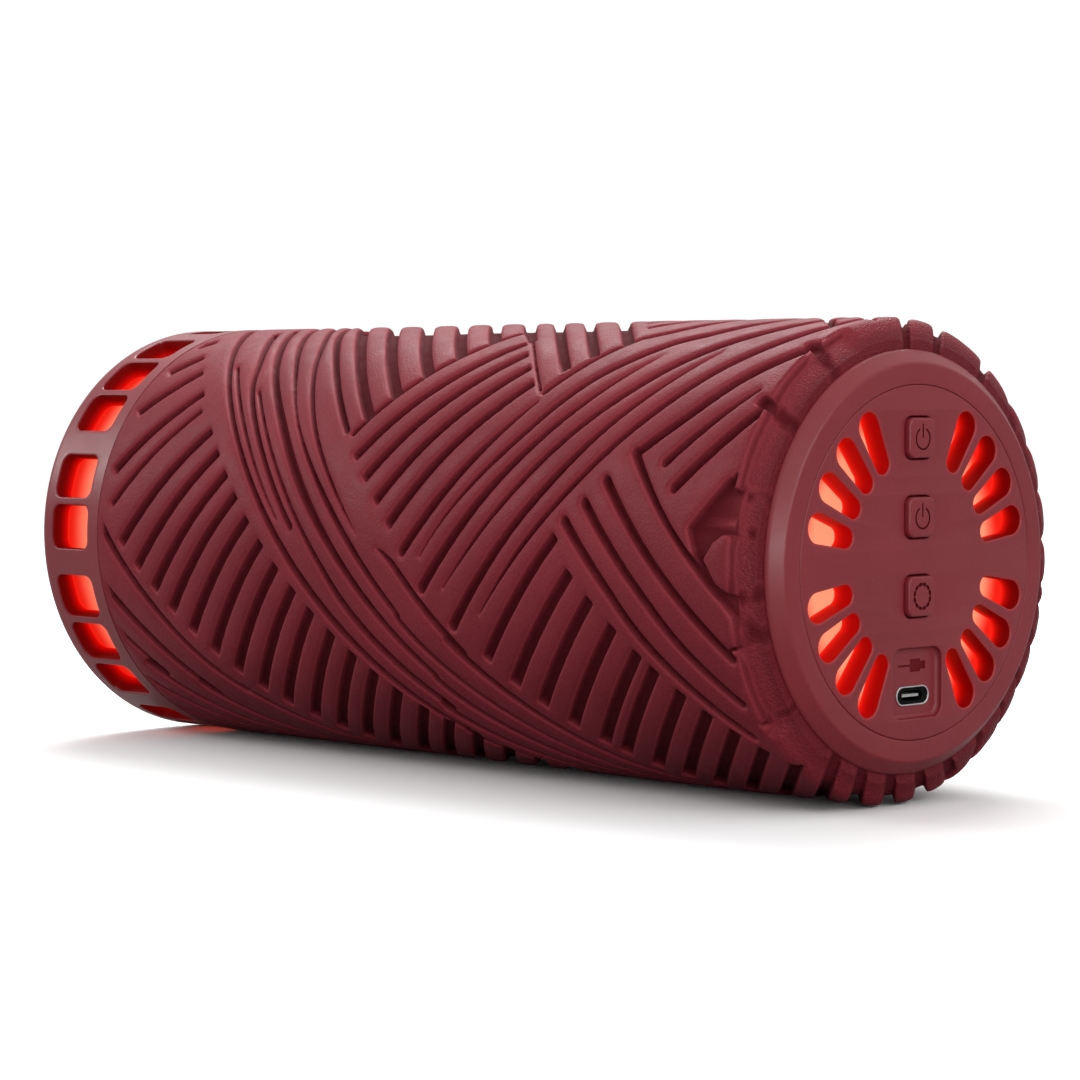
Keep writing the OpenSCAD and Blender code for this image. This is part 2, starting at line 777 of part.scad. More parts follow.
module battery_tabs() {
    color([0.82, 0.82, 0.8]) {
        for (j = [-0.5, 0.5]) across(cell_x0 - 0.2, cell_x0)
            translate([0, pack_z + j * cell_step]) square([26, 7], center = true);
        for (i = [-0.5, 0.5]) across(cell_x0 + cell_len, cell_x0 + cell_len + 0.2)
            translate([i * cell_step, pack_z]) square([7, 26], center = true);
    }
}

module battery_board() {
    color([0.05, 0.3, 0.16]) across(tray_x0 + 1.7, tray_x0 + 2.9)
        translate([0, pack_z]) square([34, 30], center = true);
}

module battery_strap() {
    top = pack_z + tray_in / 2 + tray_wall + 0.1;
    in_w = tray_in + 2 * tray_wall + 0.3;
    t = 1.5;
    color([0.75, 0.76, 0.78]) difference() {
        across(strap_x - strap_w / 2, strap_x + strap_w / 2) {
            translate([-in_w / 2 - t, top]) square([in_w + 2 * t, t]);
            for (m = [0, 1]) mirror([m, 0]) translate([in_w / 2, rib_top]) {
                square([t, top - rib_top + e]);
                square([13.5, t]);
            }
        }
        for (y = [-strap_screw_y, strap_screw_y]) translate([strap_x, y, roller_r + rib_top - 1])
            cylinder(r = 1.45, h = 4);
    }
}

module strap_screws() {
    color([0.3, 0.3, 0.32]) for (y = [-strap_screw_y, strap_screw_y])
        translate([strap_x, y, roller_r + rib_top + 1.5]) rotate([180, 0, 0]) pan_screw(1.25, 9, 2.4, 1.4);
}

// ---- Wires, held inside the tube ----

plug_x = board_x0 - 4;                     // back of the board's connectors
plug_z = -26;
lead_in = 3;                               // straight stretch in front of a connector

function from_axis(points) = [for (p = points) [p.x, p.y, roller_r + p.z]];

module motor_wires() {
    color([0.75, 0.08, 0.08]) for (s = [-1, 1]) wire(from_axis([
        [can_x1 - 4, s * 1.4, motor_r + 0.03], [can_x1 - 4, s * 1.4, 30], [112, s * 1.4, 30],
        [plug_x - lead_in, -8 + s * 2, plug_z], [plug_x, -8 + s * 2, plug_z]]), 0.8);
}

module battery_wires() {
    tab_x = cell_x0 + cell_len + 0.25;
    color([0.1, 0.1, 0.11]) for (s = [-1, 1]) wire(from_axis([
        [tab_x, s * 9.4, pack_z + 8], [tab_x + 8, s * 9.4, pack_z + 8],
        [plug_x - lead_in, 8 + s * 2, plug_z], [plug_x, 8 + s * 2, plug_z]]), 0.8);
}

module led_wires() {
    color([0.85, 0.85, 0.86]) for (s = [-1, 1]) wire(from_axis([
        [led_hole_x, s * 1.2, tube_r - 0.05], [led_hole_x, s * 1.2, 42], [112, s * 1.2, 42],
        [board_x0 - lead_in, s * 1.2, 34], [board_x0, s * 1.2, 34]]), 0.6);
}

foam_sleeve();
core_tube();
far_shell();
far_cover();
far_cover_screws();
far_baffle();
far_diffuser();
far_led_strip();
far_leds();
sleeve_stop_ring();
cap_ring();
control_disc();
cap_retainer();
slot_baffles();
near_diffusers();
button_mat();
near_leds();
vibration_button();
light_button();
mode_button();
vibration_plunger();
light_plunger();
mode_plunger();
switch_bases();
control_board();
board_chips();
board_screws();
cap_screws();
usb_shell();
usb_tongue();
usb_insert();
usb_trim();
chassis();
motor_can();
motor_magnets();
motor_bell_far();
motor_bell_near();
motor_bearings();
motor_clamps();
clamp_screws();
weight_covers();
rotor_shaft();
rotor_core();
commutator();
eccentric_weights();
battery_cells();
battery_tray();
battery_tabs();
battery_strap();
strap_screws();
battery_board();
motor_wires();
battery_wires();
led_wires();
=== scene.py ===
import json
import math

import bmesh
import bpy
import numpy as np
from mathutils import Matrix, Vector


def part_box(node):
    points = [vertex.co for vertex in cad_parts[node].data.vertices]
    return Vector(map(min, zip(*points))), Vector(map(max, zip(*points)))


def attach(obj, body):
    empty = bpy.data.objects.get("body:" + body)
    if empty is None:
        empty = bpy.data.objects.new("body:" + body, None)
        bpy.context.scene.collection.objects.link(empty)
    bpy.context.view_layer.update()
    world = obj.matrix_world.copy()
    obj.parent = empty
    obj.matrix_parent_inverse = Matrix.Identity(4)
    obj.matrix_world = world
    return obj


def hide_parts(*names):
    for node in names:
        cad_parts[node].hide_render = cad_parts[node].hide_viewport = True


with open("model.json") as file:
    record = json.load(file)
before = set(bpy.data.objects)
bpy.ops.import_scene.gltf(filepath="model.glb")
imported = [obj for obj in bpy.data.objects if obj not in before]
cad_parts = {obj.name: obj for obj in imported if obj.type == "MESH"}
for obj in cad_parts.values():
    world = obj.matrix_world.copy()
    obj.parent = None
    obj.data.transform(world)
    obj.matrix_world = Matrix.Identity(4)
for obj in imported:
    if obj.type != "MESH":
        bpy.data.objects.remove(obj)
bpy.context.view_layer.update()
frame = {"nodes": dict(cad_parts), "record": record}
scene = bpy.context.scene
MM = 0.001

# ---- Places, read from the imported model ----

foam_lo, foam_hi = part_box("foam_sleeve")
ring_lo, ring_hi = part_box("cap_ring")
disc_lo, disc_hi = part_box("control_disc")
shell_lo, shell_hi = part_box("far_shell")
tube_lo, tube_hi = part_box("core_tube")
trim_lo, trim_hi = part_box("usb_trim")
axis_z = (foam_lo.z + foam_hi.z) / 2
roller_r = (foam_hi.z - foam_lo.z) / 2
tube_r = (tube_hi.y - tube_lo.y) / 2
cap_r = (ring_hi.y - ring_lo.y) / 2
disc_r = (disc_hi.y - disc_lo.y) / 2
band_r = (shell_hi.y - shell_lo.y) / 2
x_face = disc_hi.x
x_far = shell_lo.x
foam_x0, foam_x1 = foam_lo.x, foam_hi.x
port_c = (trim_lo.z + trim_hi.z) / 2 - axis_z

# The slots are bars with round ends that point away from the disc's centre, four in each quarter
SLOT_IN, SLOT_OUT = 29.9 * MM, 40.8 * MM
SLOT_R_IN, SLOT_R_OUT = 2.8 * MM, 4.0 * MM
SLOT_FIRST, SLOT_STEP = 14.4, 15.5  # degrees up from the level

# ---- Mesh and object helpers ----


def new_mesh(name, verts, faces):
    mesh = bpy.data.meshes.new(name)
    mesh.from_pydata(verts, [], faces)
    return mesh


def new_object(name, data):
    made = bpy.data.objects.new(name, data)
    scene.collection.objects.link(made)
    return made


def evaluated_mesh(piece):
    bpy.context.view_layer.update()
    return bpy.data.meshes.new_from_object(piece.evaluated_get(bpy.context.evaluated_depsgraph_get()))


def read_all(items, key, width=1, kind=float):
    """One property of all of a mesh's items, as an array."""
    values = np.empty(len(items) * width, kind)
    items.foreach_get(key, values)
    return values.reshape(-1, width) if width > 1 else values


def about_axis(x, r, turn):
    """The point at radius r from the roller's axis, turn radians from the top over the front."""
    return x, -r * math.sin(turn), r * math.cos(turn) + axis_z


# ---- Node helpers ----


class Nodes:
    """Short names for building a node tree."""

    def __init__(self, tree):
        self.tree = tree

    def node(self, kind, **settings):
        made = self.tree.nodes.new("ShaderNode" + kind)
        for key, value in settings.items():
            setattr(made, key, value)
        return made

    def put(self, socket, value):
        if isinstance(value, bpy.types.NodeSocket):
            self.tree.links.new(value, socket)
        else:
            socket.default_value = value

    def math(self, operation, a, b=0.0, c=0.0, clamp=False):
        made = self.node("Math", operation=operation, use_clamp=clamp)
        for socket, value in zip(made.inputs, (a, b, c)):
            self.put(socket, value)
        return made.outputs[0]

    def mix(self, factor, a, b):
        made = self.node("Mix", data_type="RGBA")
        self.put(made.inputs["Factor"], factor)
        for number, value in ((6, a), (7, b)):
            self.put(made.inputs[number], value if isinstance(value, bpy.types.NodeSocket) else (*value, 1))
        return made.outputs[2]

    def span(self, value, low, high, to_low=0.0, to_high=1.0, smooth=False):
        made = self.node("MapRange")
        made.interpolation_type = "SMOOTHSTEP" if smooth else "LINEAR"
        for socket, v in zip(made.inputs, (value, low, high, to_low, to_high)):
            self.put(socket, v)
        return made.outputs[0]

    def hypot(self, a, b):
        return self.math("SQRT", self.math("ADD", self.math("MULTIPLY", a, a), self.math("MULTIPLY", b, b)))

    def by_camera(self, others, camera):
        """One shader for the rays that the camera sends and another for the rest."""
        blend = self.node("MixShader")
        paths = self.node("LightPath")
        for socket, value in zip(blend.inputs, (paths.outputs["Is Camera Ray"], others, camera)):
            self.put(socket, value)
        return blend.outputs[0]


class Shade(Nodes):
    """A node-based material."""

    def __init__(self, name):
        self.mat = bpy.data.materials.new(name)
        self.mat.use_nodes = True
        super().__init__(self.mat.node_tree)
        self.bsdf = self.tree.nodes["Principled BSDF"]
        self.coords = self.node("TexCoord").outputs["Object"]

    def texture(self, kind, vector=None, **inputs):
        made = self.node(kind)
        self.put(made.inputs["Vector"], self.coords if vector is None else vector)
        for key, value in inputs.items():
            made.inputs[key.replace("_", " ")].default_value = value
        return made.outputs

    def mapped(self, key, value):
        made = self.node("Mapping")
        self.put(made.inputs["Vector"], self.coords)
        made.inputs[key].default_value = value
        return made.outputs[0]

    def noise(self, scale, detail=3.0, stretch=None):
        vector = self.mapped("Scale", stretch) if stretch else None
        return self.texture("TexNoise", vector, Scale=scale, Detail=detail, Roughness=0.55)["Fac"]

    def drift(self, scale, detail=3.0, low=0.0, high=1.0, stretch=None):
        """Soft patches between two values."""
        return self.span(self.noise(scale, detail, stretch), 0.3, 0.7, low, high)

    def cells(self, scale):
        return self.texture("TexVoronoi", Scale=scale)["Distance"]

    def place(self):
        made = self.node("SeparateXYZ")
        self.put(made.inputs[0], self.coords)
        return made.outputs

    def radius(self):
        """Distance from the roller's axis."""
        _, y, z = self.place()
        return self.hypot(self.math("SUBTRACT", z, axis_z), y)

    def attribute(self, name):
        return self.node("Attribute", attribute_name=name).outputs["Fac"]

    def bump(self, height, depth, strength=1.0):
        made, normal = self.node("Bump"), self.bsdf.inputs["Normal"]
        for key, value in (("Strength", strength), ("Distance", depth), ("Height", height)):
            self.put(made.inputs[key], value)
        if normal.links:
            self.put(made.inputs["Normal"], normal.links[0].from_socket)
        self.put(normal, made.outputs[0])

    def set(self, **sockets):
        for key, value in sockets.items():
            self.put(self.bsdf.inputs[key.replace("_", " ")], value)
        return self


def plain(name, dark, light, patch, rough, grain=900.0, grain_depth=4e-5, **more):
    """A surface whose colour and gloss drift in soft patches, over a fine grain."""
    s = Shade(name)
    s.set(Base_Color=s.mix(s.drift(patch), dark, light), Roughness=s.drift(patch * 3.1, 3.0, *rough))
    s.bump(s.noise(grain, 2.0), grain_depth, 0.6)
    return s.set(**more)


# ---- Foam pattern ----
# Grooves are drawn on the unrolled sleeve. Lengths there are in roller radii: x runs along the axis, and
# turn is the angle in radians from the top over the front. The ridges lean 45 degrees, so most places are
# given as s = x + turn and t = x - turn: a slash keeps its s, a backslash keeps its t.

GROOVE_DEPTH = 2.8 * MM
SHOULDER = 0.6 * MM
GROOVE_WALL = 0.85 * MM
FIELD = 2.0  # half-width in mm of the grooves that fill a field
REACH = 0.09  # how far around a groove its distance is worked out
NO_GROOVE = 20 * MM
LEFT_EDGE, RIGHT_EDGE = -1.842, 2.193
X_SHIFT = -1.1 * MM
SKIN = 0.05 * MM  # kept free inside the CAD sleeve's surface
# Start and length of the control end's step down, border, round end, and the painted shade at the step's foot
STEP_X, STEP_RUN = 2.19, 0.024
BORDER_X, BORDER_RUN = 2.214, 0.063
BEHIND_X, BEHIND_RUN = 2.195, 0.082
STEP_SHADE_X, STEP_SHADE_RUN = 2.207, 0.007
FRONT_FROM, FRONT_TO, FRONT_FADE = 16, 134, 4  # degrees that the border covers


def spot(s, t):
    return ((s + t) / 2, (s - t) / 2)


def smooth_path(points, halves):
    """More points on a soft curve through the given ones."""
    rows = [(*p, h) for p, h in zip(points, halves)]
    rows = [rows[0]] + rows + [rows[-1]]
    out = []
    for a, b, c, d in zip(rows, rows[1:], rows[2:], rows[3:]):
        length = math.hypot(c[0] - b[0], c[1] - b[1])
        steps = max(2, min(8, int(length / 0.05)))
        for i in range(steps):
            u = i / steps
            out.append([0.5 * (2 * q + (r - p) * u + (2 * p - 5 * q + 4 * r - v) * u * u
                               + (3 * q - p - 3 * r + v) * u ** 3) for p, q, r, v in zip(a, b, c, d)])
    out.append(rows[-1])
    return [(o[0], o[1]) for o in out], [o[2] for o in out]


def beside(x, a, p, q):
    """How far along the line from p to q each point is, from 0 to 1, and how far from it."""
    dx, da = q[0] - p[0], q[1] - p[1]
    u = np.clip(((x - p[0]) * dx + (a - p[1]) * da) / (dx * dx + da * da), 0, 1)
    return u, np.hypot(x - p[0] - u * dx, a - p[1] - u * da)


class Pattern:
    """Distance in metres from each grid point to the nearest groove's edge, below zero inside a groove.

    open holds the grooves and recesses that run out through the border, edge all the others.
    """

    def __init__(self, columns, rows):
        self.xs = (np.linspace(foam_x0, foam_x1, columns) - X_SHIFT) / roller_r
        self.rows = rows
        self.step = 2 * math.pi / rows
        self.edge = np.full((rows, columns), NO_GROOVE)
        self.open = self.edge.copy()
        turn = np.arange(rows) * self.step
        waves = np.sin(3 * turn[:, None] + 5.1 * self.xs) + np.sin(7 * turn[:, None] - 9.3 * self.xs + 1.0)
        self.wobble = 0.0016 * waves

    def window(self, points, margin):
        x, a = zip(*points)
        columns = np.where((self.xs > min(x) - margin) & (self.xs < max(x) + margin))[0]
        first, last = math.floor((min(a) - margin) / self.step), math.ceil((max(a) + margin) / self.step)
        rows = np.arange(first, last + 1)
        if not len(columns):
            return None
        at = np.ix_(rows % self.rows, columns)
        drift = self.wobble[at]
        return at, self.xs[columns][None, :] + drift, (rows * self.step)[:, None] - drift

    def carve(self, at, distance, runs_out=False):
        layer = self.open if runs_out else self.edge
        layer[at] = np.minimum(layer[at], distance)

    def line(self, points, half, runs_out=False):
        """A groove along points (s, t), or (x, turn) where it runs out. half is its half-width in mm."""
        points = points if runs_out else [spot(*p) for p in points]
        halves = [half] * len(points) if np.isscalar(half) else half
        if len(points) > 2:
            points, halves = smooth_path(points, halves)
        for p, q, h0, h1 in zip(points, points[1:], halves, halves[1:]):
            found = self.window([p, q], REACH)
            if found is None:
                continue
            at, x, a = found
            u, away = beside(x, a, p, q)
            self.carve(at, away * roller_r - (h0 + (h1 - h0) * u) * MM, runs_out)

    def slash(self, s, t0, t1, half, drift=-0.045):
        self.bar(spot(s, t0), spot(s + drift * (t1 - t0), t1), half)

    def backslash(self, t, s0, s1, half):
        self.bar(spot(s0, t), spot(s1, t), half)

    def bar(self, p, q, half):
        """A straight groove whose square ends have softened corners."""
        found = self.window([p, q], REACH)
        if found is None:
            return
        at, x, a = found
        length, corner = math.hypot(q[0] - p[0], q[1] - p[1]), 0.7
        ux, ua = (q[0] - p[0]) / length, (q[1] - p[1]) / length
        x, a = x - (p[0] + q[0]) / 2, a - (p[1] + q[1]) / 2
        along = np.abs(x * ux + a * ua) * roller_r - (length / 2 * roller_r - corner * MM)
        across = np.abs(a * ux - x * ua) * roller_r - (half - corner) * MM
        outside = np.hypot(np.maximum(along, 0), np.maximum(across, 0))
        self.carve(at, outside + np.minimum(np.maximum(along, across), 0) - corner * MM)

    def area(self, corners, raised=False):
        """A recessed floor inside a polygon of (x, degrees), or a raised island."""
        round_by = 0.8 * MM
        points = [(x, math.radians(a)) for x, a in corners]
        at, x, a = self.window(points, 0.06)
        x, a = np.broadcast_arrays(x, a)
        best = np.full(x.shape, 1e9)
        inside = np.zeros(x.shape, bool)
        for p, q in zip(points, points[1:] + points[:1]):
            best = np.minimum(best, beside(x, a, p, q)[1])
            crosses = (p[1] > a) != (q[1] > a)
            slope = np.where(crosses, (a - p[1]) / (q[1] - p[1] or 1e-9), 0)
            inside ^= crosses & (x < p[0] + slope * (q[0] - p[0]))
        signed = np.where(inside, -best, best) * roller_r - round_by
        if raised:
            for layer in (self.edge, self.open):
                layer[at] = np.maximum(layer[at], -signed - 2 * round_by)
        else:
            self.carve(at, signed, runs_out=True)


def draw_grooves(g):
    far, near = -4.3, 8.6

    # Band between the two fields that face the camera: long grooves that merge and part
    g.line([(-1.9, -1.88), (-1.4, -1.94), (-0.8, -2.0), (0, -2.04), (0.8, -2.07), (1.4, -2.1), (2.2, -2.14),
            (2.8, -2.18), (3.4, -2.24), (near, -2.24)], [1.5, 1.4, 1.1, 1.0, 1.3, 1.7, 1.8, 1.8, 1.8, 1.8])
    g.line([(-0.7, -1.945), (0, -1.965), (0.9, -2.0)], [0.7, 0.8, 0.5])
    g.line([(-1.25, -1.7), (-0.6, -1.78), (-0.2, -1.86), (0.6, -1.9), (1.03, -1.93)],
           [1.4, 1.3, 1.2, 1.1, 1.3])
    g.line([(-0.2, -1.8), (0.6, -1.825), (1.0, -1.85), (1.4, -1.89), (1.8, -1.94), (2.6, -1.98), (3.2, -2.05),
            (near, -2.05)], [0.7, 0.8, 0.9, 1.3, 1.7, 1.9, 1.8, 1.7])
    g.line([(-1.3, -1.56), (-0.6, -1.64), (-0.2, -1.67), (0.4, -1.68), (1.0, -1.71), (1.6, -1.74),
            (2.4, -1.78), (3.2, -1.84), (near, -1.84)], [1.2, 1.5, 1.4, 1.7, 1.8, 1.5, 1.5, 1.6, 1.5])
    g.line([(-1.6, -1.37), (-0.8, -1.47), (-0.2, -1.52), (0.4, -1.565), (1.2, -1.58), (2.0, -1.61),
            (2.8, -1.655), (near, -1.655)], [1.0, 1.2, 0.9, 0.6, 1.2, 1.3, 1.2, 1.3])
    g.line([(-2.2, -1.2), (-0.8, -1.3), (-0.4, -1.34), (0, -1.4), (0.6, -1.46), (1.2, -1.49), (1.5, -1.5)],
           [1.2, 1.0, 1.0, 1.0, 0.9, 0.7, 0.3])
    g.line([(1.7, -1.42), (1.85, -1.38), (2.2, -1.39), (2.6, -1.41), (3.0, -1.44), (near, -1.44)],
           [0.4, 1.2, 1.6, 1.8, 1.7, 1.6])

    # Lower band on the front, and its run behind
    g.line([(-0.4, -3.36), (0.4, -3.42), (0.8, -3.46), (1.2, -3.47), (2.0, -3.44), (near, -3.44)], 1.6)
    g.line([(-0.3, -3.66), (0.4, -3.7), (1.0, -3.76), (1.6, -3.8), (near, -3.8)], [1.5, 1.9, 1.9, 1.6, 1.6])
    g.line([(0.0, -3.88), (0.6, -3.95), (1.2, -4.02), (near, -4.02)], [1.0, 1.4, 1.5, 1.5])
    g.line([(0.2, -4.15), (0.8, -4.22), (near, -4.22)], 1.5)
    g.line([(0.2, -4.44), (near, -4.44)], 1.4)

    # Field under the front band: slashes in a row, a block of backslashes behind, slashes again
    for s in (-1.14, -0.87, -0.56, -0.1, 0.12, 0.33, 0.53, 0.74, 0.95, 1.155, 1.36, 1.555, 1.76, 1.955, 2.14,
              2.33, 2.53, 2.71, 2.91, 3.12, 3.33, 3.54, 3.75, 3.96, 4.17):
        g.slash(s, max(-3.3, -3.62 - s), -2.205, FIELD)
    g.slash(-0.37, -3.2, -2.24, 1.3)
    g.slash(-1.42, -2.27, -2.13, FIELD)
    g.slash(4.4, -3.28, -2.3, 1.3, 0)
    for t in (-3.16, -2.94, -2.72, -2.5):
        g.backslash(t, 4.4, 5.8, 2.1)
    g.slash(5.8, -3.28, -2.3, 1.3, 0)
    for k in range(12):
        g.slash(6.02 + 0.207 * k, -3.29, -2.3, FIELD)

    # Raised backslash bars over the front's upper left: grooves lie between them
    for t, end in ((-1.06, 0.84), (-0.84, 0.81), (-0.61, 0.77), (-0.375, 0.74), (-0.145, 0.7)):
        g.backslash(t, -1.35 if t < -0.3 else far, end, 2.1)
    g.line([(-1.5, -1.12), (-0.9, -1.19), (-0.4, -1.23), (0.8, -1.24)], [0.8, 1.2, 1.3, 1.2])
    g.line([(0.86, -1.2), (0.83, -1.0), (0.79, -0.7), (0.75, -0.5), (0.71, -0.25), (0.66, 0),
            (0.64, 0.09)], 1.25)
    g.line([(-1.35, -1.12), (-1.35, -0.4)], 1.25)
    g.line([(far, -1.3), (-1.3, -1.3)], 1.4)
    for k in range(9):
        g.slash(-1.57 - 0.207 * k, -1.24, -0.45, FIELD)

    # Slashes from the front band up to the next backslash line, and the fan that crosses over it
    for s in (1.05, 1.25, 1.455, 1.66):
        g.slash(s, -1.26, 0.05, 1.9, -0.095)
    g.line([(1.87, -1.26), (1.81, -0.5), (1.75, 0.04)], [1.7, 1.6, 0.6])
    g.line([(2.0, -1.15), (1.97, -0.85), (1.95, -0.4), (1.93, -0.1), (1.89, 0.2), (1.85, 0.5), (1.84, 0.95),
            (1.88, 1.15), (1.87, 1.35), (1.83, 1.58), (1.72, 1.8), (1.45, 2.0), (0.95, 2.2)],
           [0.4, 0.6, 1.1, 1.3, 1.5, 1.6, 1.9, 2.1, 2.3, 2.3, 2.2, 2.0, 1.8])
    g.line([(2.14, -1.3), (2.1, -0.6), (2.06, 0.05), (2.04, 0.35), (2.0, 0.65), (1.97, 0.85)],
           [1.8, 1.7, 1.4, 1.2, 0.8, 0.2])
    g.line([(2.27, -1.15), (2.25, -0.5), (2.22, 0.05), (2.2, 0.5), (2.17, 0.9), (2.16, 1.25), (2.15, 1.5),
            (2.12, 1.75), (2.05, 1.94), (1.88, 2.12), (1.5, 2.3), (1.0, 2.42)],
           [0.4, 1.0, 1.3, 1.5, 1.7, 2.1, 2.3, 2.4, 2.4, 2.2, 2.0, 1.8])
    g.line([(2.46, -1.3), (2.43, -0.6), (2.4, 0), (2.36, 0.5), (2.31, 0.95), (2.27, 1.2)],
           [1.8, 1.6, 1.5, 1.3, 0.8, 0.2])
    g.line([(2.58, -1.05), (2.56, -0.3), (2.55, 0.2), (2.52, 0.65), (2.48, 1.1), (2.45, 1.4), (2.41, 1.66),
            (2.35, 1.9), (2.24, 2.06), (1.98, 2.3), (1.5, 2.52)],
           [0.4, 1.1, 1.2, 1.5, 1.6, 1.9, 2.0, 2.0, 1.9, 1.7, 1.5])

    # Backslash bars that end under the fan, and the top and back of that band
    g.line([(far, 0.08), (0.6, 0.08), (0.72, 0.09), (1.66, 0.075)], [2.0, 2.0, 0.7, 0.6])
    for t, half in ((0.262, 1.8), (0.457, 1.8), (0.672, 1.9)):
        g.backslash(t, far, 1.62 - 0.1 * t, half)
    g.line([(1.7, 0.1), (1.66, 0.3), (1.6, 0.52), (1.55, 0.76)], 1.3)
    g.line([(1.55, 0.76), (1.59, 0.95), (1.57, 1.15), (1.48, 1.4), (1.2, 1.68)], [1.3, 1.8, 2.1, 2.1, 1.8])
    for k in range(30):
        g.slash(1.3 - 0.208 * k, 0.8, 1.2 + min(0.5, 0.12 * k), FIELD)

    # Field under the fan, and the three long grooves beside it
    g.slash(2.76, -1.3, -0.22, 1.8)
    for s in (2.99, 3.2, 3.42, 3.635, 3.775, 3.98, 4.17, 4.36, 4.55, 4.75, 4.95, 5.14, 5.34, 5.54, 5.74):
        g.slash(s, -1.31, -0.28, FIELD)
    for path in ([(2.69, -0.12), (3.2, -0.14), (3.6, -0.18), (4.42, -0.22)],
                 [(2.71, 0.06), (3.4, 0.04), (3.8, 0.01), (4.28, 0.0)],
                 [(2.71, 0.26), (3.4, 0.24), (4.1, 0.235)]):
        g.line(path, 1.65)
    g.line([(2.7, 0.5), (3.2, 0.47), (3.75, 0.47), (3.95, 0.49)], [1.5, 1.2, 1.4, 1.6])
    g.line([(2.72, 0.52), (2.73, 0.9), (2.7, 1.3), (2.69, 1.66), (2.67, 1.78)], [1.8, 1.9, 2.2, 2.6, 2.6])
    g.line([(2.93, 0.64), (2.91, 1.0), (2.9, 1.32)], [1.6, 1.5, 0.8])
    g.line([(3.12, 0.62), (3.1, 1.0), (3.07, 1.4)], [1.8, 2.0, 2.4])
    g.slash(3.41, 0.62, 1.02, 1.6, -0.06)
    g.area([(1.985, 81), (2.155, 69), (2.18, 71.5), (2.4, 71.5), (2.4, 107), (2.235, 107), (2.23, 102),
            (2.12, 94.5), (2.03, 87.5)])
    g.area([(2.06, 87.8), (2.11, 83.6), (2.16, 81.6), (2.4, 81.6), (2.4, 96), (2.2, 96), (2.13, 93.8)],
           raised=True)

    # Grooves that run out through the border at the control end
    for x0, a0, x1, a1, half in ((2.16, 27.5, 2.32, 31, 2.3), (2.16, 48.5, 2.32, 52, 2.0),
                                 (2.17, 108.5, 2.32, 107, 0.7), (2.19, 128.5, 2.32, 128, 0.8)):
        g.line([(x0, math.radians(a0)), (x1, math.radians(a1))], half, runs_out=True)


def soft_step(v):
    v = np.clip(v, 0, 1)
    return v * v * (3 - 2 * v)


def foam_relief(columns, rows):
    """Radius over a grid on the unrolled sleeve, and how much painted shade each point gets, from 0 to 1."""
    g = Pattern(columns, rows)
    draw_grooves(g)
    turn, xr = (np.arange(rows) * g.step)[:, None], g.xs[None, :]
    around = np.degrees(turn)
    front = soft_step((around - FRONT_FROM) / FRONT_FADE) * soft_step((FRONT_TO - around) / FRONT_FADE)
    stop = (xr - RIGHT_EDGE) * roller_r * front - 9 * MM * (1 - front)
    edge = np.maximum(np.maximum(g.edge, stop), (LEFT_EDGE - xr) * roller_r)
    edge = np.minimum(edge, g.open)
    inside = soft_step(-edge / GROOVE_WALL)
    round_off = np.exp(-np.maximum(edge, 0) / (0.9 * MM))
    dip = (GROOVE_DEPTH - SHOULDER) * inside + SHOULDER * round_off

    # At the control end the ridge tops step down to a pebbled border on the front, and round off behind.
    # At the far end they round off.
    step_down = np.clip((xr - STEP_X) / STEP_RUN, 0, 1)
    border = np.clip((xr - BORDER_X) / BORDER_RUN, 0, 1)
    behind = 6.0 * np.clip((xr - BEHIND_X) / BEHIND_RUN, 0, 1) ** 2 * (1 - front)
    top = roller_r - SKIN - (2.9 * step_down * front + 3.6 * border ** 1.1 * front + behind) * MM
    top = top - 0.3 * MM * soft_step((-1.85 - xr) / 0.02)
    swell = 0.08 * MM * (np.sin(4 * turn + 2.0 * xr) + np.sin(9 * turn - 6.0 * xr + 0.7) - 1)
    low, soft = roller_r - dip + swell - behind * MM, 0.22 * MM
    radius = np.minimum(-soft * np.logaddexp(-low / soft, -top / soft), roller_r - SKIN)

    # Painted shade: dark in the grooves, fading out on wide recess floors
    shade = dip / GROOVE_DEPTH * np.exp(-np.maximum(-edge - 1.9 * MM, 0) / (0.6 * MM))
    # Painted shade along the foot of the step on the front
    step_shade = 0.65 * np.exp(-((xr - STEP_SHADE_X) / STEP_SHADE_RUN) ** 2) * front
    return radius, np.maximum(shade, step_shade)


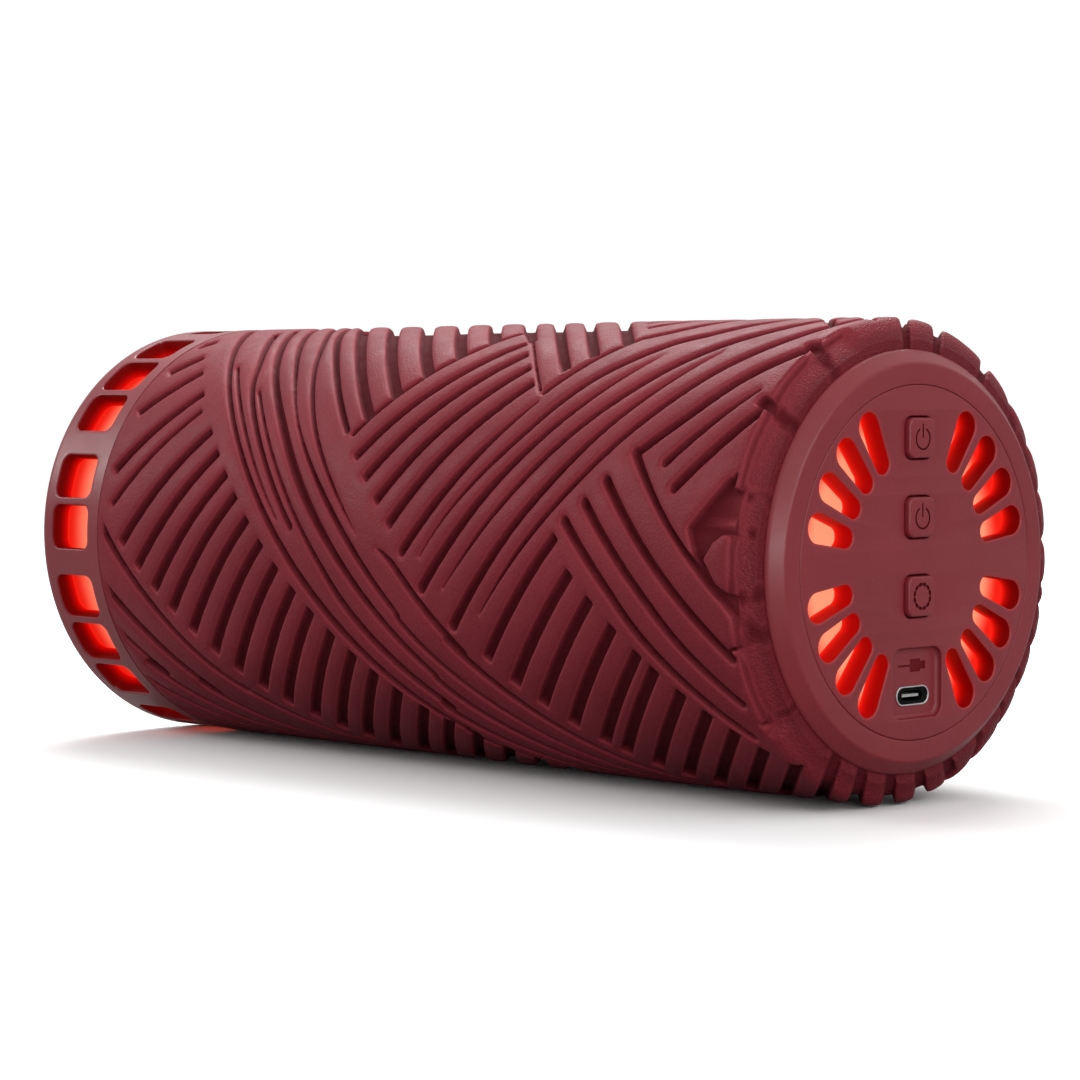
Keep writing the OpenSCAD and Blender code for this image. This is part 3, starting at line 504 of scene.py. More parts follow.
def build_foam():
    columns, rows = ((541, 820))
    radius, shade = foam_relief(columns, rows)
    step = 2 * math.pi / rows
    turn = np.arange(rows) * step
    sin, cos = np.sin(turn), np.cos(turn)
    x = np.broadcast_to(np.linspace(foam_x0, foam_x1, columns), radius.shape)
    outer = np.stack([x, -radius * sin[:, None], radius * cos[:, None] + axis_z], -1)
    normal = np.cross(np.roll(outer, -1, 0) - np.roll(outer, 1, 0), np.gradient(outer, axis=1))
    normal /= np.linalg.norm(normal, axis=-1, keepdims=True)

    bore = tube_r + SKIN
    ends = [np.stack([np.full(rows, end), -bore * sin, bore * cos + axis_z], -1)
            for end in (foam_x0, foam_x1)]
    verts = np.concatenate([outer.reshape(-1, 3)] + ends)
    index = np.arange(rows * columns).reshape(rows, columns)
    lo = rows * columns + np.arange(rows)
    after = np.roll(index, -1, 0)
    strips = [[index[:, :-1], after[:, :-1], after[:, 1:], index[:, 1:]]]
    for a, b in ((index[:, 0], lo), (lo, lo + rows), (lo + rows, index[:, -1])):
        strips.append([a, b, np.roll(b, -1), np.roll(a, -1)])
    quads = np.concatenate([np.stack(strip, -1).reshape(-1, 4) for strip in strips])
    piece = new_object("ridged_foam", new_mesh("foam", verts.tolist(), quads.tolist()))
    piece.modifiers.new("lean", "DECIMATE").ratio = 0.21
    lean = evaluated_mesh(piece)
    piece.modifiers.clear()
    piece.data = lean
    mesh = piece.data

    # Shading normals and the painted groove shade come from the fine grid, whatever the mesh kept
    co = read_all(mesh.vertices, "co", 3)
    fx = np.clip((co[:, 0] - foam_x0) / (foam_x1 - foam_x0) * (columns - 1), 0, columns - 1.001)
    fa = np.mod(np.arctan2(-co[:, 1], co[:, 2] - axis_z), 2 * math.pi) / step
    ix, ia = fx.astype(int), fa.astype(int)

    def sample(field):
        ux, ua = fx - ix, fa - ia
        if field.ndim == 3:
            ux, ua = ux[:, None], ua[:, None]
        low, high = (field[a, ix] * (1 - ux) + field[a, ix + 1] * ux for a in (ia % rows, (ia + 1) % rows))
        return low * (1 - ua) + high * ua

    dip_at = mesh.attributes.new("dip", "FLOAT", "POINT")
    dip_at.data.foreach_set("value", np.clip(sample(shade), 0, 1))
    smooth = sample(normal)
    smooth /= np.linalg.norm(smooth, axis=1, keepdims=True)
    mesh.polygons.foreach_set("use_smooth", np.ones(len(mesh.polygons), bool))
    flat = read_all(mesh.polygons, "normal", 3)
    centre = read_all(mesh.polygons, "center", 3) - [0, 0, axis_z]
    facing = flat[:, 1] * centre[:, 1] + flat[:, 2] * centre[:, 2]
    outward = facing > 0.02 * np.hypot(centre[:, 1], centre[:, 2])
    face = np.repeat(np.arange(len(flat)), read_all(mesh.polygons, "loop_total", kind=int))
    at = read_all(mesh.loops, "vertex_index", kind=int)
    mesh.normals_split_custom_set(np.where(outward[face][:, None], smooth[at], flat[face]).tolist())
    return piece


# ---- Outlines and solids for the moulded pieces ----


def polar(cy, cz, r, degrees):
    a = math.radians(degrees)
    return cy + r * math.cos(a), cz + r * math.sin(a)


def arc(cy, cz, r, a0, a1, steps):
    return [polar(cy, cz, r, a0 + (a1 - a0) * i / steps) for i in range(steps + 1)]


def between(p, q, steps, first=0):
    """Points at even steps from p towards q, without q."""
    return [(p[0] + (q[0] - p[0]) * i / steps, p[1] + (q[1] - p[1]) * i / steps) for i in range(first, steps)]


def circle(r, steps=192, cy=0.0, cz=0.0):
    return arc(cy, cz, r, 0, 360, steps)[:-1]


def rounded(w, h, r, cy=0.0, cz=0.0):
    out = []
    for sy, sz, a in ((1, 1, 0), (-1, 1, 90), (-1, -1, 180), (1, -1, 270)):
        out += arc(cy + sy * (w / 2 - r), cz + sz * (h / 2 - r), r, a, a + 90, 10)
    return out


def capsule(p, q, rp, rq, steps=12):
    """Outline of a bar with round ends, rp at p and rq at q."""
    away = math.degrees(math.atan2(q[1] - p[1], q[0] - p[0]))
    lean = math.degrees(math.asin((rq - rp) / math.hypot(q[0] - p[0], q[1] - p[1])))
    return (arc(*q, rq, away - 90 - lean, away + 90 + lean, steps)
            + arc(*p, rp, away + 90 + lean, away + 270 - lean, steps))


def shape(name, outlines, x_back, x_front, bevel=0.0):
    """A plate between two heights along the axis: the first outline with the others cut out of it."""
    curve = bpy.data.curves.new(name, "CURVE")
    curve.dimensions = "2D"
    curve.fill_mode = "BOTH"
    curve.extrude = (x_front - x_back) / 2 - bevel
    curve.bevel_depth = bevel
    curve.bevel_resolution = 3
    curve.offset = -bevel
    for outline in outlines:
        spline = curve.splines.new("POLY")
        spline.points.add(len(outline) - 1)
        for point, (y, z) in zip(spline.points, outline):
            point.co = (y, z, 0, 1)
        spline.use_cyclic_u = True
    holder = new_object(name, curve)
    mesh = evaluated_mesh(holder)
    bpy.data.objects.remove(holder)
    bpy.data.curves.remove(curve)
    middle = (x_back + x_front) / 2
    for v in mesh.vertices:
        y, z, up = v.co
        v.co = (middle + up, y, z + axis_z)
    return mesh


def skin(name, rows, wrap_rows, wrap_points, close_last=False):
    """Quads between rows of points, all with the same number of points."""
    n = len(rows[0])
    faces = []
    for k in range(len(rows) if wrap_rows else len(rows) - 1):
        m = (k + 1) % len(rows)
        for i in range(n if wrap_points else n - 1):
            j = (i + 1) % n
            faces.append((k * n + i, k * n + j, m * n + j, m * n + i))
    if close_last:
        faces.append(tuple(range((len(rows) - 1) * n, len(rows) * n)))
    return new_mesh(name, [point for row in rows for point in row], faces)


def loft(name, rings, close_last=False, loop=False):
    """A skin through rings of (x, outline)."""
    return skin(name, [[(x, y, z + axis_z) for y, z in ring] for x, ring in rings], loop, True, close_last)


def lathe(name, profile, turns=None, closed=False):
    """Turns a profile of (radius, x) around the roller's axis, through even steps or the angles given."""
    turns = turns or [math.pi * k / 128 for k in range(256)]
    return skin(name, [[about_axis(x, r, turn) for r, x in profile] for turn in turns], True, closed)


def offsets(r, x, *places):
    """Points of a profile, given in millimetres from (r, x)."""
    return [(r + out * MM, x + along * MM) for out, along in places]


def rounding(r, x, start, end, bulge, steps):
    """A soft corner from start to end around bulge, all in millimetres from (r, x)."""
    (r0, x0), (r1, x1), (rb, xb) = offsets(r, x, start, end, bulge)
    out = []
    for i in range(steps + 1):
        u = i / steps
        out.append(((1 - u) ** 2 * r0 + 2 * u * (1 - u) * rb + u * u * r1,
                    (1 - u) ** 2 * x0 + 2 * u * (1 - u) * xb + u * u * x1))
    return out


SHARP = math.radians(32)


def piece_of(name, parts, node, body="roller", merge=1e-6):
    """Joins meshes, listed by material, into one piece that stands in for a CAD node."""
    bm = bmesh.new()
    for number, (_, meshes) in enumerate(parts):
        for mesh in meshes:
            start = len(bm.faces)
            bm.from_mesh(mesh)
            bm.faces.ensure_lookup_table()
            for face in bm.faces[start:]:
                face.material_index += number
            bpy.data.meshes.remove(mesh)
    bmesh.ops.remove_doubles(bm, verts=bm.verts, dist=merge)
    bmesh.ops.dissolve_degenerate(bm, edges=bm.edges, dist=1e-7)
    bmesh.ops.recalc_face_normals(bm, faces=bm.faces)
    for edge in bm.edges:
        edge.smooth = len(edge.link_faces) == 2 and edge.calc_face_angle(0) < SHARP
    for face in bm.faces:
        face.smooth = True
    joined = bpy.data.meshes.new(name)
    bm.to_mesh(joined)
    bm.free()
    for material, _ in parts:
        joined.materials.append(material)
    stand_in(new_object(name, joined), body, node)


def stand_in(piece, body, node):
    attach(piece, body)
    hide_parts(node)


# ---- Materials ----

BURGUNDY = (0.172, 0.0128, 0.0198)
BURGUNDY_LIGHT = (0.205, 0.0172, 0.0252)
GLOW_RED = (1.0, 0.018, 0.008)


def foam_material():
    s = Shade("moulded_foam")
    dip = s.attribute("dip")
    crest = s.mix(s.drift(38, 4), (0.138, 0.0085, 0.016), (0.186, 0.0132, 0.0228))
    speck = s.span(s.cells(1500), 0.1, 0.7)
    crest = s.mix(s.math("MULTIPLY", speck, 0.16), crest, (0.34, 0.045, 0.06))
    # Colour of the painted shade at the bottom of the grooves
    floor = (0.06, 0.0016, 0.0042)
    to_end = s.math("SUBTRACT", foam_x1, s.place()[0])
    # Painted shade: the crest is darker next to the cap ring
    shade_by_ring = s.span(to_end, 2.4 * MM, 0.2 * MM, 0.0, 0.5, smooth=True)
    crest = s.mix(shade_by_ring, crest, (0.08, 0.0035, 0.007))
    # The lips of the grooves are painted lighter: a painted highlight along the ridge edges
    lip = s.math("MULTIPLY", s.span(dip, 0.11, 0.2), s.span(dip, 0.46, 0.28, smooth=True))
    on_ridges = s.span(to_end, 4.6 * MM, 5.6 * MM, 0.15, 0.6)
    crest = s.mix(s.math("MULTIPLY", lip, on_ridges), crest, (0.285, 0.033, 0.046))
    # Painted shade: the colour darkens towards the groove floor colour as the painted shade (dip) rises
    s.set(Base_Color=s.mix(s.span(dip, 0.22, 0.9, 0, 0.78), crest, floor))
    gloss = s.drift(150, 3.0, 0.46, 0.58)
    s.set(Roughness=s.math("MULTIPLY_ADD", dip, 0.42, gloss, clamp=True), Specular_IOR_Level=0.16)
    border = s.span(to_end, 4.2 * MM, 2.8 * MM, smooth=True)
    pebble = s.math("MULTIPLY", s.span(s.cells(1500), 0.0, 0.75), s.math("MULTIPLY_ADD", border, 1.7, 0.75))
    s.bump(pebble, 1e-4, 0.8)
    s.bump(s.noise(2600, 2), 6e-5, 0.7)
    s.bump(s.noise(240, 3), 1.6e-4, 0.4)
    return s.mat


def cap_plastic(name, rough):
    s = Shade(name)
    colour = s.mix(s.drift(26, 2), BURGUNDY, BURGUNDY_LIGHT)
    fleck = s.span(s.noise(1900, 1), 0.35, 0.65)
    colour = s.mix(s.math("MULTIPLY", fleck, 0.2), colour, (0.28, 0.03, 0.04))
    s.set(Base_Color=colour, Roughness=s.drift(90, 3.0, *rough), Specular_IOR_Level=0.42)
    s.bump(s.noise(1400, 2), 2e-5, 0.5)
    s.bump(s.noise(70, 2), 1.8e-4, 0.25)
    return s


def add_slot_halo(s):
    """Painted glow: red light leaking into the plastic round each slot, given as emission from the slot's own
    shape.
    """
    _, y, z = s.place()
    angle = s.math("ARCTAN2", s.math("ABSOLUTE", s.math("SUBTRACT", z, axis_z)), s.math("ABSOLUTE", y))
    first, step = math.radians(SLOT_FIRST), math.radians(SLOT_STEP)
    nearest = s.math("ROUND", s.math("DIVIDE", s.math("SUBTRACT", angle, first), step))
    nearest = s.math("MAXIMUM", s.math("MINIMUM", nearest, 3.0), 0.0)
    off = s.math("SUBTRACT", angle, s.math("MULTIPLY_ADD", nearest, step, first))
    along = s.math("MULTIPLY", s.radius(), s.math("COSINE", off))
    across = s.math("MULTIPLY", s.radius(), s.math("SINE", off))
    held = s.math("MAXIMUM", s.math("MINIMUM", along, SLOT_OUT), SLOT_IN)
    half = s.span(held, SLOT_IN, SLOT_OUT, SLOT_R_IN, SLOT_R_OUT)
    out = s.math("SUBTRACT", s.hypot(s.math("SUBTRACT", along, held), across), half)
    out = s.math("MAXIMUM", out, 0.0)
    near = s.math("EXPONENT", s.math("MULTIPLY", out, -1 / (0.3 * MM)))
    s.set(Emission_Color=s.mix(near, (1.0, 0.05, 0.04), (1.0, 0.1, 0.07)))
    s.set(Emission_Strength=s.math("MULTIPLY", near, 0.14))
    return s.mat


def glow_material(name, factor, hot, spill):
    """A lit diffuser: factor(s) is 1 where it is brightest, and spill is how much it lights the rest."""
    s = Shade(name)
    bright = factor(s)
    streak = s.math("MULTIPLY", s.span(s.noise(120, 2), 0.2, 0.8, -0.12, 0.12), bright)
    colour = s.mix(s.math("ADD", bright, streak, clamp=True), GLOW_RED, hot)
    s.set(Base_Color=s.mix(bright, (0.3, 0.005, 0.003), (0.4, 0.06, 0.03)))
    s.set(Roughness=0.6, Specular_IOR_Level=0.1)
    strength = s.span(bright, 0, 1, 0.72, 1.0)
    direct = s.span(s.node("LightPath").outputs["Is Camera Ray"], 0, 1, spill, 1.0)
    s.set(Emission_Color=colour, Emission_Strength=s.math("MULTIPLY", strength, direct))
    s.bump(s.noise(800, 2), 3e-5, 0.5)
    return s.mat


def near_glow(s):
    return s.span(s.radius(), 42.5 * MM, 34.5 * MM, smooth=True)


def far_glow(s):
    off = s.math("ABSOLUTE", s.math("SUBTRACT", s.place()[0], x_far + 18 * MM))
    return s.span(off, 10.5 * MM, 1.5 * MM, smooth=True)


def well_material(name, bright_at, dark_at, radial=False):
    """Red wall of a light well, with its light painted on as emission: it glows most next to its diffuser."""
    s = Shade(name)
    x, y, _ = s.place()
    if radial:
        along, power, hot, low = s.radius(), 2.0, (1.0, 0.004, 0.001), 0.07
    else:
        # The slot walls' painted glow stays stronger towards -y
        along, power, hot, low = x, 3.2, (1.0, 0.012, 0.005), s.span(y, -30 * MM, 30 * MM, 0.46, 0.1)
    lit = s.math("POWER", s.span(along, dark_at, bright_at), power)
    s.set(Base_Color=s.mix(s.noise(300, 2), (0.11, 0.001, 0.001), (0.15, 0.002, 0.002)), Roughness=0.5)
    s.set(Emission_Color=s.mix(lit, (0.7, 0.0, 0.0), hot), Emission_Strength=s.span(lit, 0, 1, low, 1.0))
    s.set(Specular_IOR_Level=0.1)
    s.bump(s.noise(900, 2), 3e-5, 0.5)
    return s.mat


def metal(name, colour, dark, rough, stretch=None):
    s = Shade(name)
    s.set(Base_Color=s.mix(s.drift(400, stretch=stretch), dark, colour), Metallic=1.0)
    s.set(Roughness=s.drift(700, 3.0, *rough, stretch))
    s.bump(s.noise(1600, 2, stretch=stretch), 1e-5, 0.5)
    return s.mat


def board_material():
    """Solder mask with traces drawn by a brick pattern."""
    s = plain("circuit_board", (0.006, 0.05, 0.02), (0.01, 0.075, 0.03), 90, (0.3, 0.4), 1200, 2e-5)
    upright = s.mapped("Rotation", (0, math.pi / 2, 0))
    trace = s.texture("TexBrick", upright, Scale=220, Mortar_Size=0.05)["Fac"]
    mask = s.bsdf.inputs["Base Color"].links[0].from_socket
    s.set(Base_Color=s.mix(s.math("MULTIPLY", trace, 0.6), mask, (0.03, 0.14, 0.06)))
    return s.mat


foam_mat = foam_material()
disc_mat = add_slot_halo(cap_plastic("cap_disc_plastic", (0.36, 0.44)))
shell_mat = cap_plastic("shell_plastic", (0.32, 0.4)).mat
icon_mat = plain("icon_recess", (0.06, 0.0015, 0.003), (0.08, 0.0025, 0.0045), 200, (0.6, 0.7),
                 Specular_IOR_Level=0.1).mat
symbol_mat = plain("symbol_recess", (0.105, 0.005, 0.0085), (0.12, 0.006, 0.01), 200, (0.6, 0.7),
                   Specular_IOR_Level=0.1).mat
# Black of the port: the insert is black plastic, and on the metal shell the black is painted shade
black_and_shaded_port = plain("port_black_and_shade", (0.003, 0.003, 0.003), (0.006, 0.006, 0.006), 300, (0.5, 0.6),
                   Specular_IOR_Level=0.06).mat
slot_mats = {
    "foam": foam_mat,
    "shell": shell_mat,
    "tube": plain("tube_abs", (0.02, 0.02, 0.022), (0.03, 0.03, 0.032), 40, (0.45, 0.55)).mat,
    "diffuser": glow_material("near_diffuser_glow", near_glow, (1.0, 0.31, 0.175), 0.5),
    "light_well": well_material("slot_well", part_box("slot_baffles")[0].x, x_face),
    "inner_ring": plain("dark_ring", (0.035, 0.008, 0.01), (0.05, 0.012, 0.014), 60, (0.45, 0.55)).mat,
    "led": plain("led_phosphor", (0.75, 0.55, 0.18), (0.85, 0.68, 0.28), 500, (0.3, 0.4)).mat,
    "strip": plain("light_strip", (0.62, 0.58, 0.48), (0.72, 0.68, 0.58), 120, (0.4, 0.5)).mat,
    "silicone": plain("silicone_mat", (0.1, 0.1, 0.105), (0.14, 0.14, 0.145), 80, (0.55, 0.65)).mat,
    "black_plastic": plain("black_plastic", (0.012, 0.012, 0.013), (0.02, 0.02, 0.021), 90, (0.4, 0.5)).mat,
    "steel": metal("motor_steel", (0.55, 0.56, 0.57), (0.4, 0.41, 0.42), (0.25, 0.36), (0.05, 1, 1)),
    "bearing": metal("bearing_steel", (0.62, 0.62, 0.62), (0.5, 0.5, 0.5), (0.15, 0.25)),
    "screw": metal("zinc_screw", (0.58, 0.57, 0.55), (0.4, 0.39, 0.37), (0.25, 0.4)),
    "board": board_material(),
    "port_metal": metal("port_metal", (0.8, 0.78, 0.78), (0.66, 0.64, 0.64), (0.16, 0.26)),
    "port_tongue": plain("port_tongue", (0.3, 0.3, 0.29), (0.38, 0.38, 0.37), 900, (0.35, 0.45)).mat,
    "chassis": plain("chassis_abs", (0.028, 0.028, 0.03), (0.045, 0.045, 0.047), 50, (0.45, 0.6)).mat,
    "magnet": plain("ferrite", (0.022, 0.021, 0.02), (0.035, 0.033, 0.031), 200, (0.5, 0.65)).mat,
    "copper": metal("copper", (0.8, 0.36, 0.2), (0.62, 0.25, 0.13), (0.2, 0.32), (1, 0.1, 1)),
    "weight": metal("weight_iron", (0.3, 0.29, 0.28), (0.2, 0.195, 0.19), (0.4, 0.55)),
    "cell": plain("cell_wrap", (0.02, 0.1, 0.2), (0.03, 0.14, 0.27), 60, (0.25, 0.35), Coat_Weight=0.3).mat,
    "nickel": metal("nickel_tab", (0.66, 0.64, 0.58), (0.54, 0.52, 0.47), (0.25, 0.36)),
    "wire_red": plain("wire_red", (0.45, 0.01, 0.01), (0.6, 0.02, 0.02), 200, (0.35, 0.45)).mat,
    "wire_black": plain("wire_black", (0.012, 0.012, 0.012), (0.022, 0.022, 0.022), 200, (0.35, 0.45)).mat,
    "wire_white": plain("wire_white", (0.62, 0.61, 0.58), (0.74, 0.73, 0.7), 200, (0.35, 0.45)).mat,
}
far_diffuser_mat = glow_material("far_diffuser_glow", far_glow, (1.0, 0.19, 0.11), 0.3)
far_well_mat = well_material("window_well", band_r - 6.5 * MM, band_r - 1.5 * MM, radial=True)
node_mats = {"far_diffuser": far_diffuser_mat, "far_baffle": far_well_mat,
             "usb_insert": black_and_shaded_port, "usb_shell": black_and_shaded_port}
for part in frame["record"]["subparts"]:
    node = frame["nodes"][part["node"]]
    node.data.materials.clear()
    node.data.materials.append(node_mats.get(part["node"], slot_mats[part["material_slot"]]))


# ---- Foam sleeve ----

foam = build_foam()
foam.data.materials.append(foam_mat)
stand_in(foam, "roller", "foam_sleeve")

# ---- Control cap ----

BUTTONS = ("vibration_button", "light_button", "mode_button")
BUTTON_W, BUTTON_R = 10.6 * MM, 2.2 * MM
BUTTON_SINK = 0.8 * MM  # how much lower the caps end than the CAD's, which is the length of a press
POCKET_W, POCKET_H, POCKET_R, POCKET_C = 20.2 * MM, 18.6 * MM, 3.4 * MM, -31.7 * MM
PLATE = 0.3 * MM
TRIM_W, TRIM_H = 13.4 * MM, 5.2 * MM
SYMBOL_C = -27.2 * MM
pocket_floor = x_face - 2 * MM
button_boxes = [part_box(name) for name in BUTTONS]
button_places = [((lo.y + hi.y) / 2, (lo.z + hi.z) / 2 - axis_z) for lo, hi in button_boxes]


def slot_ring(grow=0.0):
    """The outlines of all 16 slots."""
    angles = [math.radians(SLOT_FIRST + SLOT_STEP * i) for i in range(4)]
    rays = [(side * math.cos(a), up * math.sin(a)) for side in (-1, 1) for up in (-1, 1) for a in angles]
    r_in, r_out = SLOT_R_IN + grow, SLOT_R_OUT + grow
    return [capsule((SLOT_IN * y, SLOT_IN * z), (SLOT_OUT * y, SLOT_OUT * z), r_in, r_out) for y, z in rays]


def pocket_ring(inset):
    return rounded(POCKET_W - 2 * inset, POCKET_H - 2 * inset, POCKET_R - inset, 0, POCKET_C)


def stadium(w, h, cz):
    return capsule((-(w - h) / 2, cz), ((w - h) / 2, cz), h / 2, h / 2, 14)


opening = BUTTON_W + 0.8 * MM
holes = slot_ring() + [rounded(opening, opening, 2.6 * MM, *place) for place in button_places]
holes.append(pocket_ring(0))
disc_front = shape("disc_front", [circle(disc_r)] + holes, x_face - 3 * MM, x_face, 0.42 * MM)
pocket_wall = loft("pocket_wall", [(x, pocket_ring(inset * MM)) for x, inset in (
    (x_face - 0.43 * MM, 0.01), (pocket_floor + 1.1 * MM, 0.02), (pocket_floor + 0.5 * MM, 0.22),
    (pocket_floor + 0.15 * MM, 0.6), (pocket_floor, 1.13), (pocket_floor - PLATE, 1.13),
    (pocket_floor - PLATE, 0.01))], loop=True)
wall_front, wall_back = x_face - 0.42 * MM, x_face - 3.08 * MM
slot_walls = []
for near, wide in zip(slot_ring(-0.02 * MM), slot_ring(0.3 * MM)):
    rings = [(wall_front, near), (wall_back, near), (wall_back, wide), (wall_front, wide)]
    slot_walls.append(loft("slot_wall", rings, loop=True))
# A plain plug with its cord: its lower half, then the mirrored half
plug = [(-5.8, -0.27), (-0.9, -0.27), (-0.9, -1.7), (3.2, -1.7), (3.2, -1.05), (5.4, -1.05)]
symbol = [(y * MM, z * MM + SYMBOL_C) for y, z in plug + [(y, -z) for y, z in reversed(plug)]]
port_hole = stadium(TRIM_W + 0.1 * MM, TRIM_H + 0.1 * MM, port_c)
floor_plate = shape("pocket_floor", [pocket_ring(1.15 * MM), symbol, port_hole],
                    pocket_floor - PLATE, pocket_floor)
symbol_back = shape("symbol_back", [rounded(13 * MM, 4.4 * MM, 1 * MM, 0, SYMBOL_C)],
                    pocket_floor - 2 * PLATE, pocket_floor - PLATE)
disc_parts = [(disc_mat, [disc_front, pocket_wall, floor_plate]), (symbol_mat, [symbol_back])]
piece_of("control_disc_front", disc_parts + [(slot_mats["light_well"], slot_walls)], "control_disc")

ring_in = disc_r + 0.06 * MM
profile = offsets(ring_in, ring_lo.x, (0, 12)) + offsets(ring_in, x_face, (0, -0.45))
profile += rounding(ring_in, x_face, (0, -0.4), (0.4, 0), (0, 0), 4)
profile += offsets(ring_in, x_face, (1.6, 0))
profile += rounding(cap_r, x_face, (-4.2, 0), (-3.1, -0.5), (-3.6, 0), 5)
profile += rounding(cap_r, x_face, (-0.8, -2.6), (-0.05, -3.7), (-0.2, -3.15), 5)
profile += offsets(cap_r - 0.05 * MM, foam_x1, (0, 0.05)) + offsets(ring_in, foam_x1, (3, 0.05))
profile += offsets(ring_in, ring_lo.x, (3, 12))
piece_of("cap_bezel", [(shell_mat, [lathe("bezel", profile, closed=True)])], "cap_ring")


def arc_band(cy, cz, r, half, a0, a1, steps=20):
    """Outline of a curved stroke with round ends."""
    end = arc(*polar(cy, cz, r, a1), half, a1, a1 + 180, 6)[1:-1]
    start = arc(*polar(cy, cz, r, a0), half, a0 + 180, a0 + 360, 6)[1:-1]
    return arc(cy, cz, r + half, a0, a1, steps) + end + arc(cy, cz, r - half, a1, a0, steps) + start


def power_icon(cy, cz):
    return [arc_band(cy, cz - 0.2 * MM, 2.8 * MM, 0.26 * MM, 122, 418),
            capsule((cy, cz + 0.2 * MM), (cy, cz + 3.5 * MM), 0.24 * MM, 0.24 * MM, 6)]


def dots_icon(cy, cz):
    return [arc_band(cy, cz, 3.2 * MM, 0.46 * MM, 30 * k + 9, 30 * k + 21, 3) for k in range(12)]


STEM_R, FLANGE_W, ICON_DEPTH = 2.6 * MM, 12.8 * MM, 0.3 * MM
flange_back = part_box("button_mat")[1].x + 1.0 * MM
for name, (lo, hi), place in zip(BUTTONS, button_boxes, button_places):
    top = hi.x - BUTTON_SINK
    icon = (dots_icon if name == "mode_button" else power_icon)(*place)
    rings = []
    for drop, inset in ((0, 0.75), (0.03, 0.55), (0.14, 0.3), (0.35, 0.1), (0.7, 0), (3.2, 0), (5, 0)):
        width = BUTTON_W - 2 * inset * MM
        rings.append((top - drop * MM, rounded(width, width, BUTTON_R - inset * MM, *place)))
    face = shape(name + "_face", [rings[0][1]] + icon, top, top)
    pits = [loft(name + "_pit", [(top, line), (top - ICON_DEPTH, line)], close_last=True) for line in icon]
    skirt = loft(name + "_skirt", rings, close_last=True)
    flange = shape(name + "_flange", [rounded(FLANGE_W, FLANGE_W, BUTTON_R, *place)],
                   flange_back, flange_back + 1.7 * MM, 0.1 * MM)
    stem = shape(name + "_stem", [circle(STEM_R, 32, *place)], lo.x, flange_back + 0.1 * MM, 0.1 * MM)
    piece_of(name + "_cap", [(shell_mat, [face, skirt, flange, stem]), (icon_mat, pits)], name, body=name)

# ---- Charging port ----

lip, rim_back = trim_hi.x, pocket_floor - 2.6 * MM
rim = loft("rim", [(x, stadium(TRIM_W - inset * MM, TRIM_H - inset * MM, port_c)) for x, inset in (
    (rim_back, 0), (lip - 0.14 * MM, 0), (lip - 0.03 * MM, 0.16), (lip, 0.42), (lip - 0.03 * MM, 0.74),
    (lip - 0.16 * MM, 0.94), (rim_back, 1), (rim_back, 0))])
piece_of("port_rim", [(slot_mats["port_metal"], [rim])], "usb_trim")

# ---- Far end band ----

WINDOW_HALF, WINDOW_R = 18.3 * MM / 2, 3.2 * MM
WINDOW_TURN = 12.4  # degrees that a window covers
WINDOW_PITCH = 14.4  # degrees between the windows of a group
WINDOW_FIRST = 80.5
GROUPS = (2, 3, 3, 3, 2, 3, 3, 3)
BAND_WALL = 3.0 * MM
SIDE_STEPS = 16  # points along each side of a window's outline
window_x = x_far + 6.3 * MM + WINDOW_HALF
window_half_a = band_r * math.sin(math.radians(WINDOW_TURN) / 2)
group_gap = (360 - (sum(GROUPS) - len(GROUPS)) * WINDOW_PITCH) / len(GROUPS)
angles, place = [], WINDOW_FIRST - WINDOW_PITCH / 2
for size in GROUPS:
    for i in range(size):
        angles.append(place)
        place += WINDOW_PITCH
    place += group_gap - WINDOW_PITCH


# The band is split halfway between neighbouring windows
around = [angles[-1] - 360] + angles + [angles[0] + 360]
splits = [math.radians((a + b) / 2) for a, b in zip(around, around[1:])]
sectors = list(zip(splits, splits[1:]))


def window_outline():
    """A rounded rectangle that starts in the middle of a corner, with SIDE_STEPS points to each side."""
    half = SIDE_STEPS // 2
    x, a = WINDOW_HALF - WINDOW_R, window_half_a - WINDOW_R
    bends = [arc(sx * x, sa * a, WINDOW_R, start, start + 90, half)
             for sx, sa, start in ((-1, -1, 180), (1, -1, 270), (1, 1, 0), (-1, 1, 90))]
    out = []
    for here, there in zip(bends, bends[1:] + bends[:1]):
        out += here[half // 2:] + between(here[-1], there[0], half, 1) + there[:half // 2]
    return out


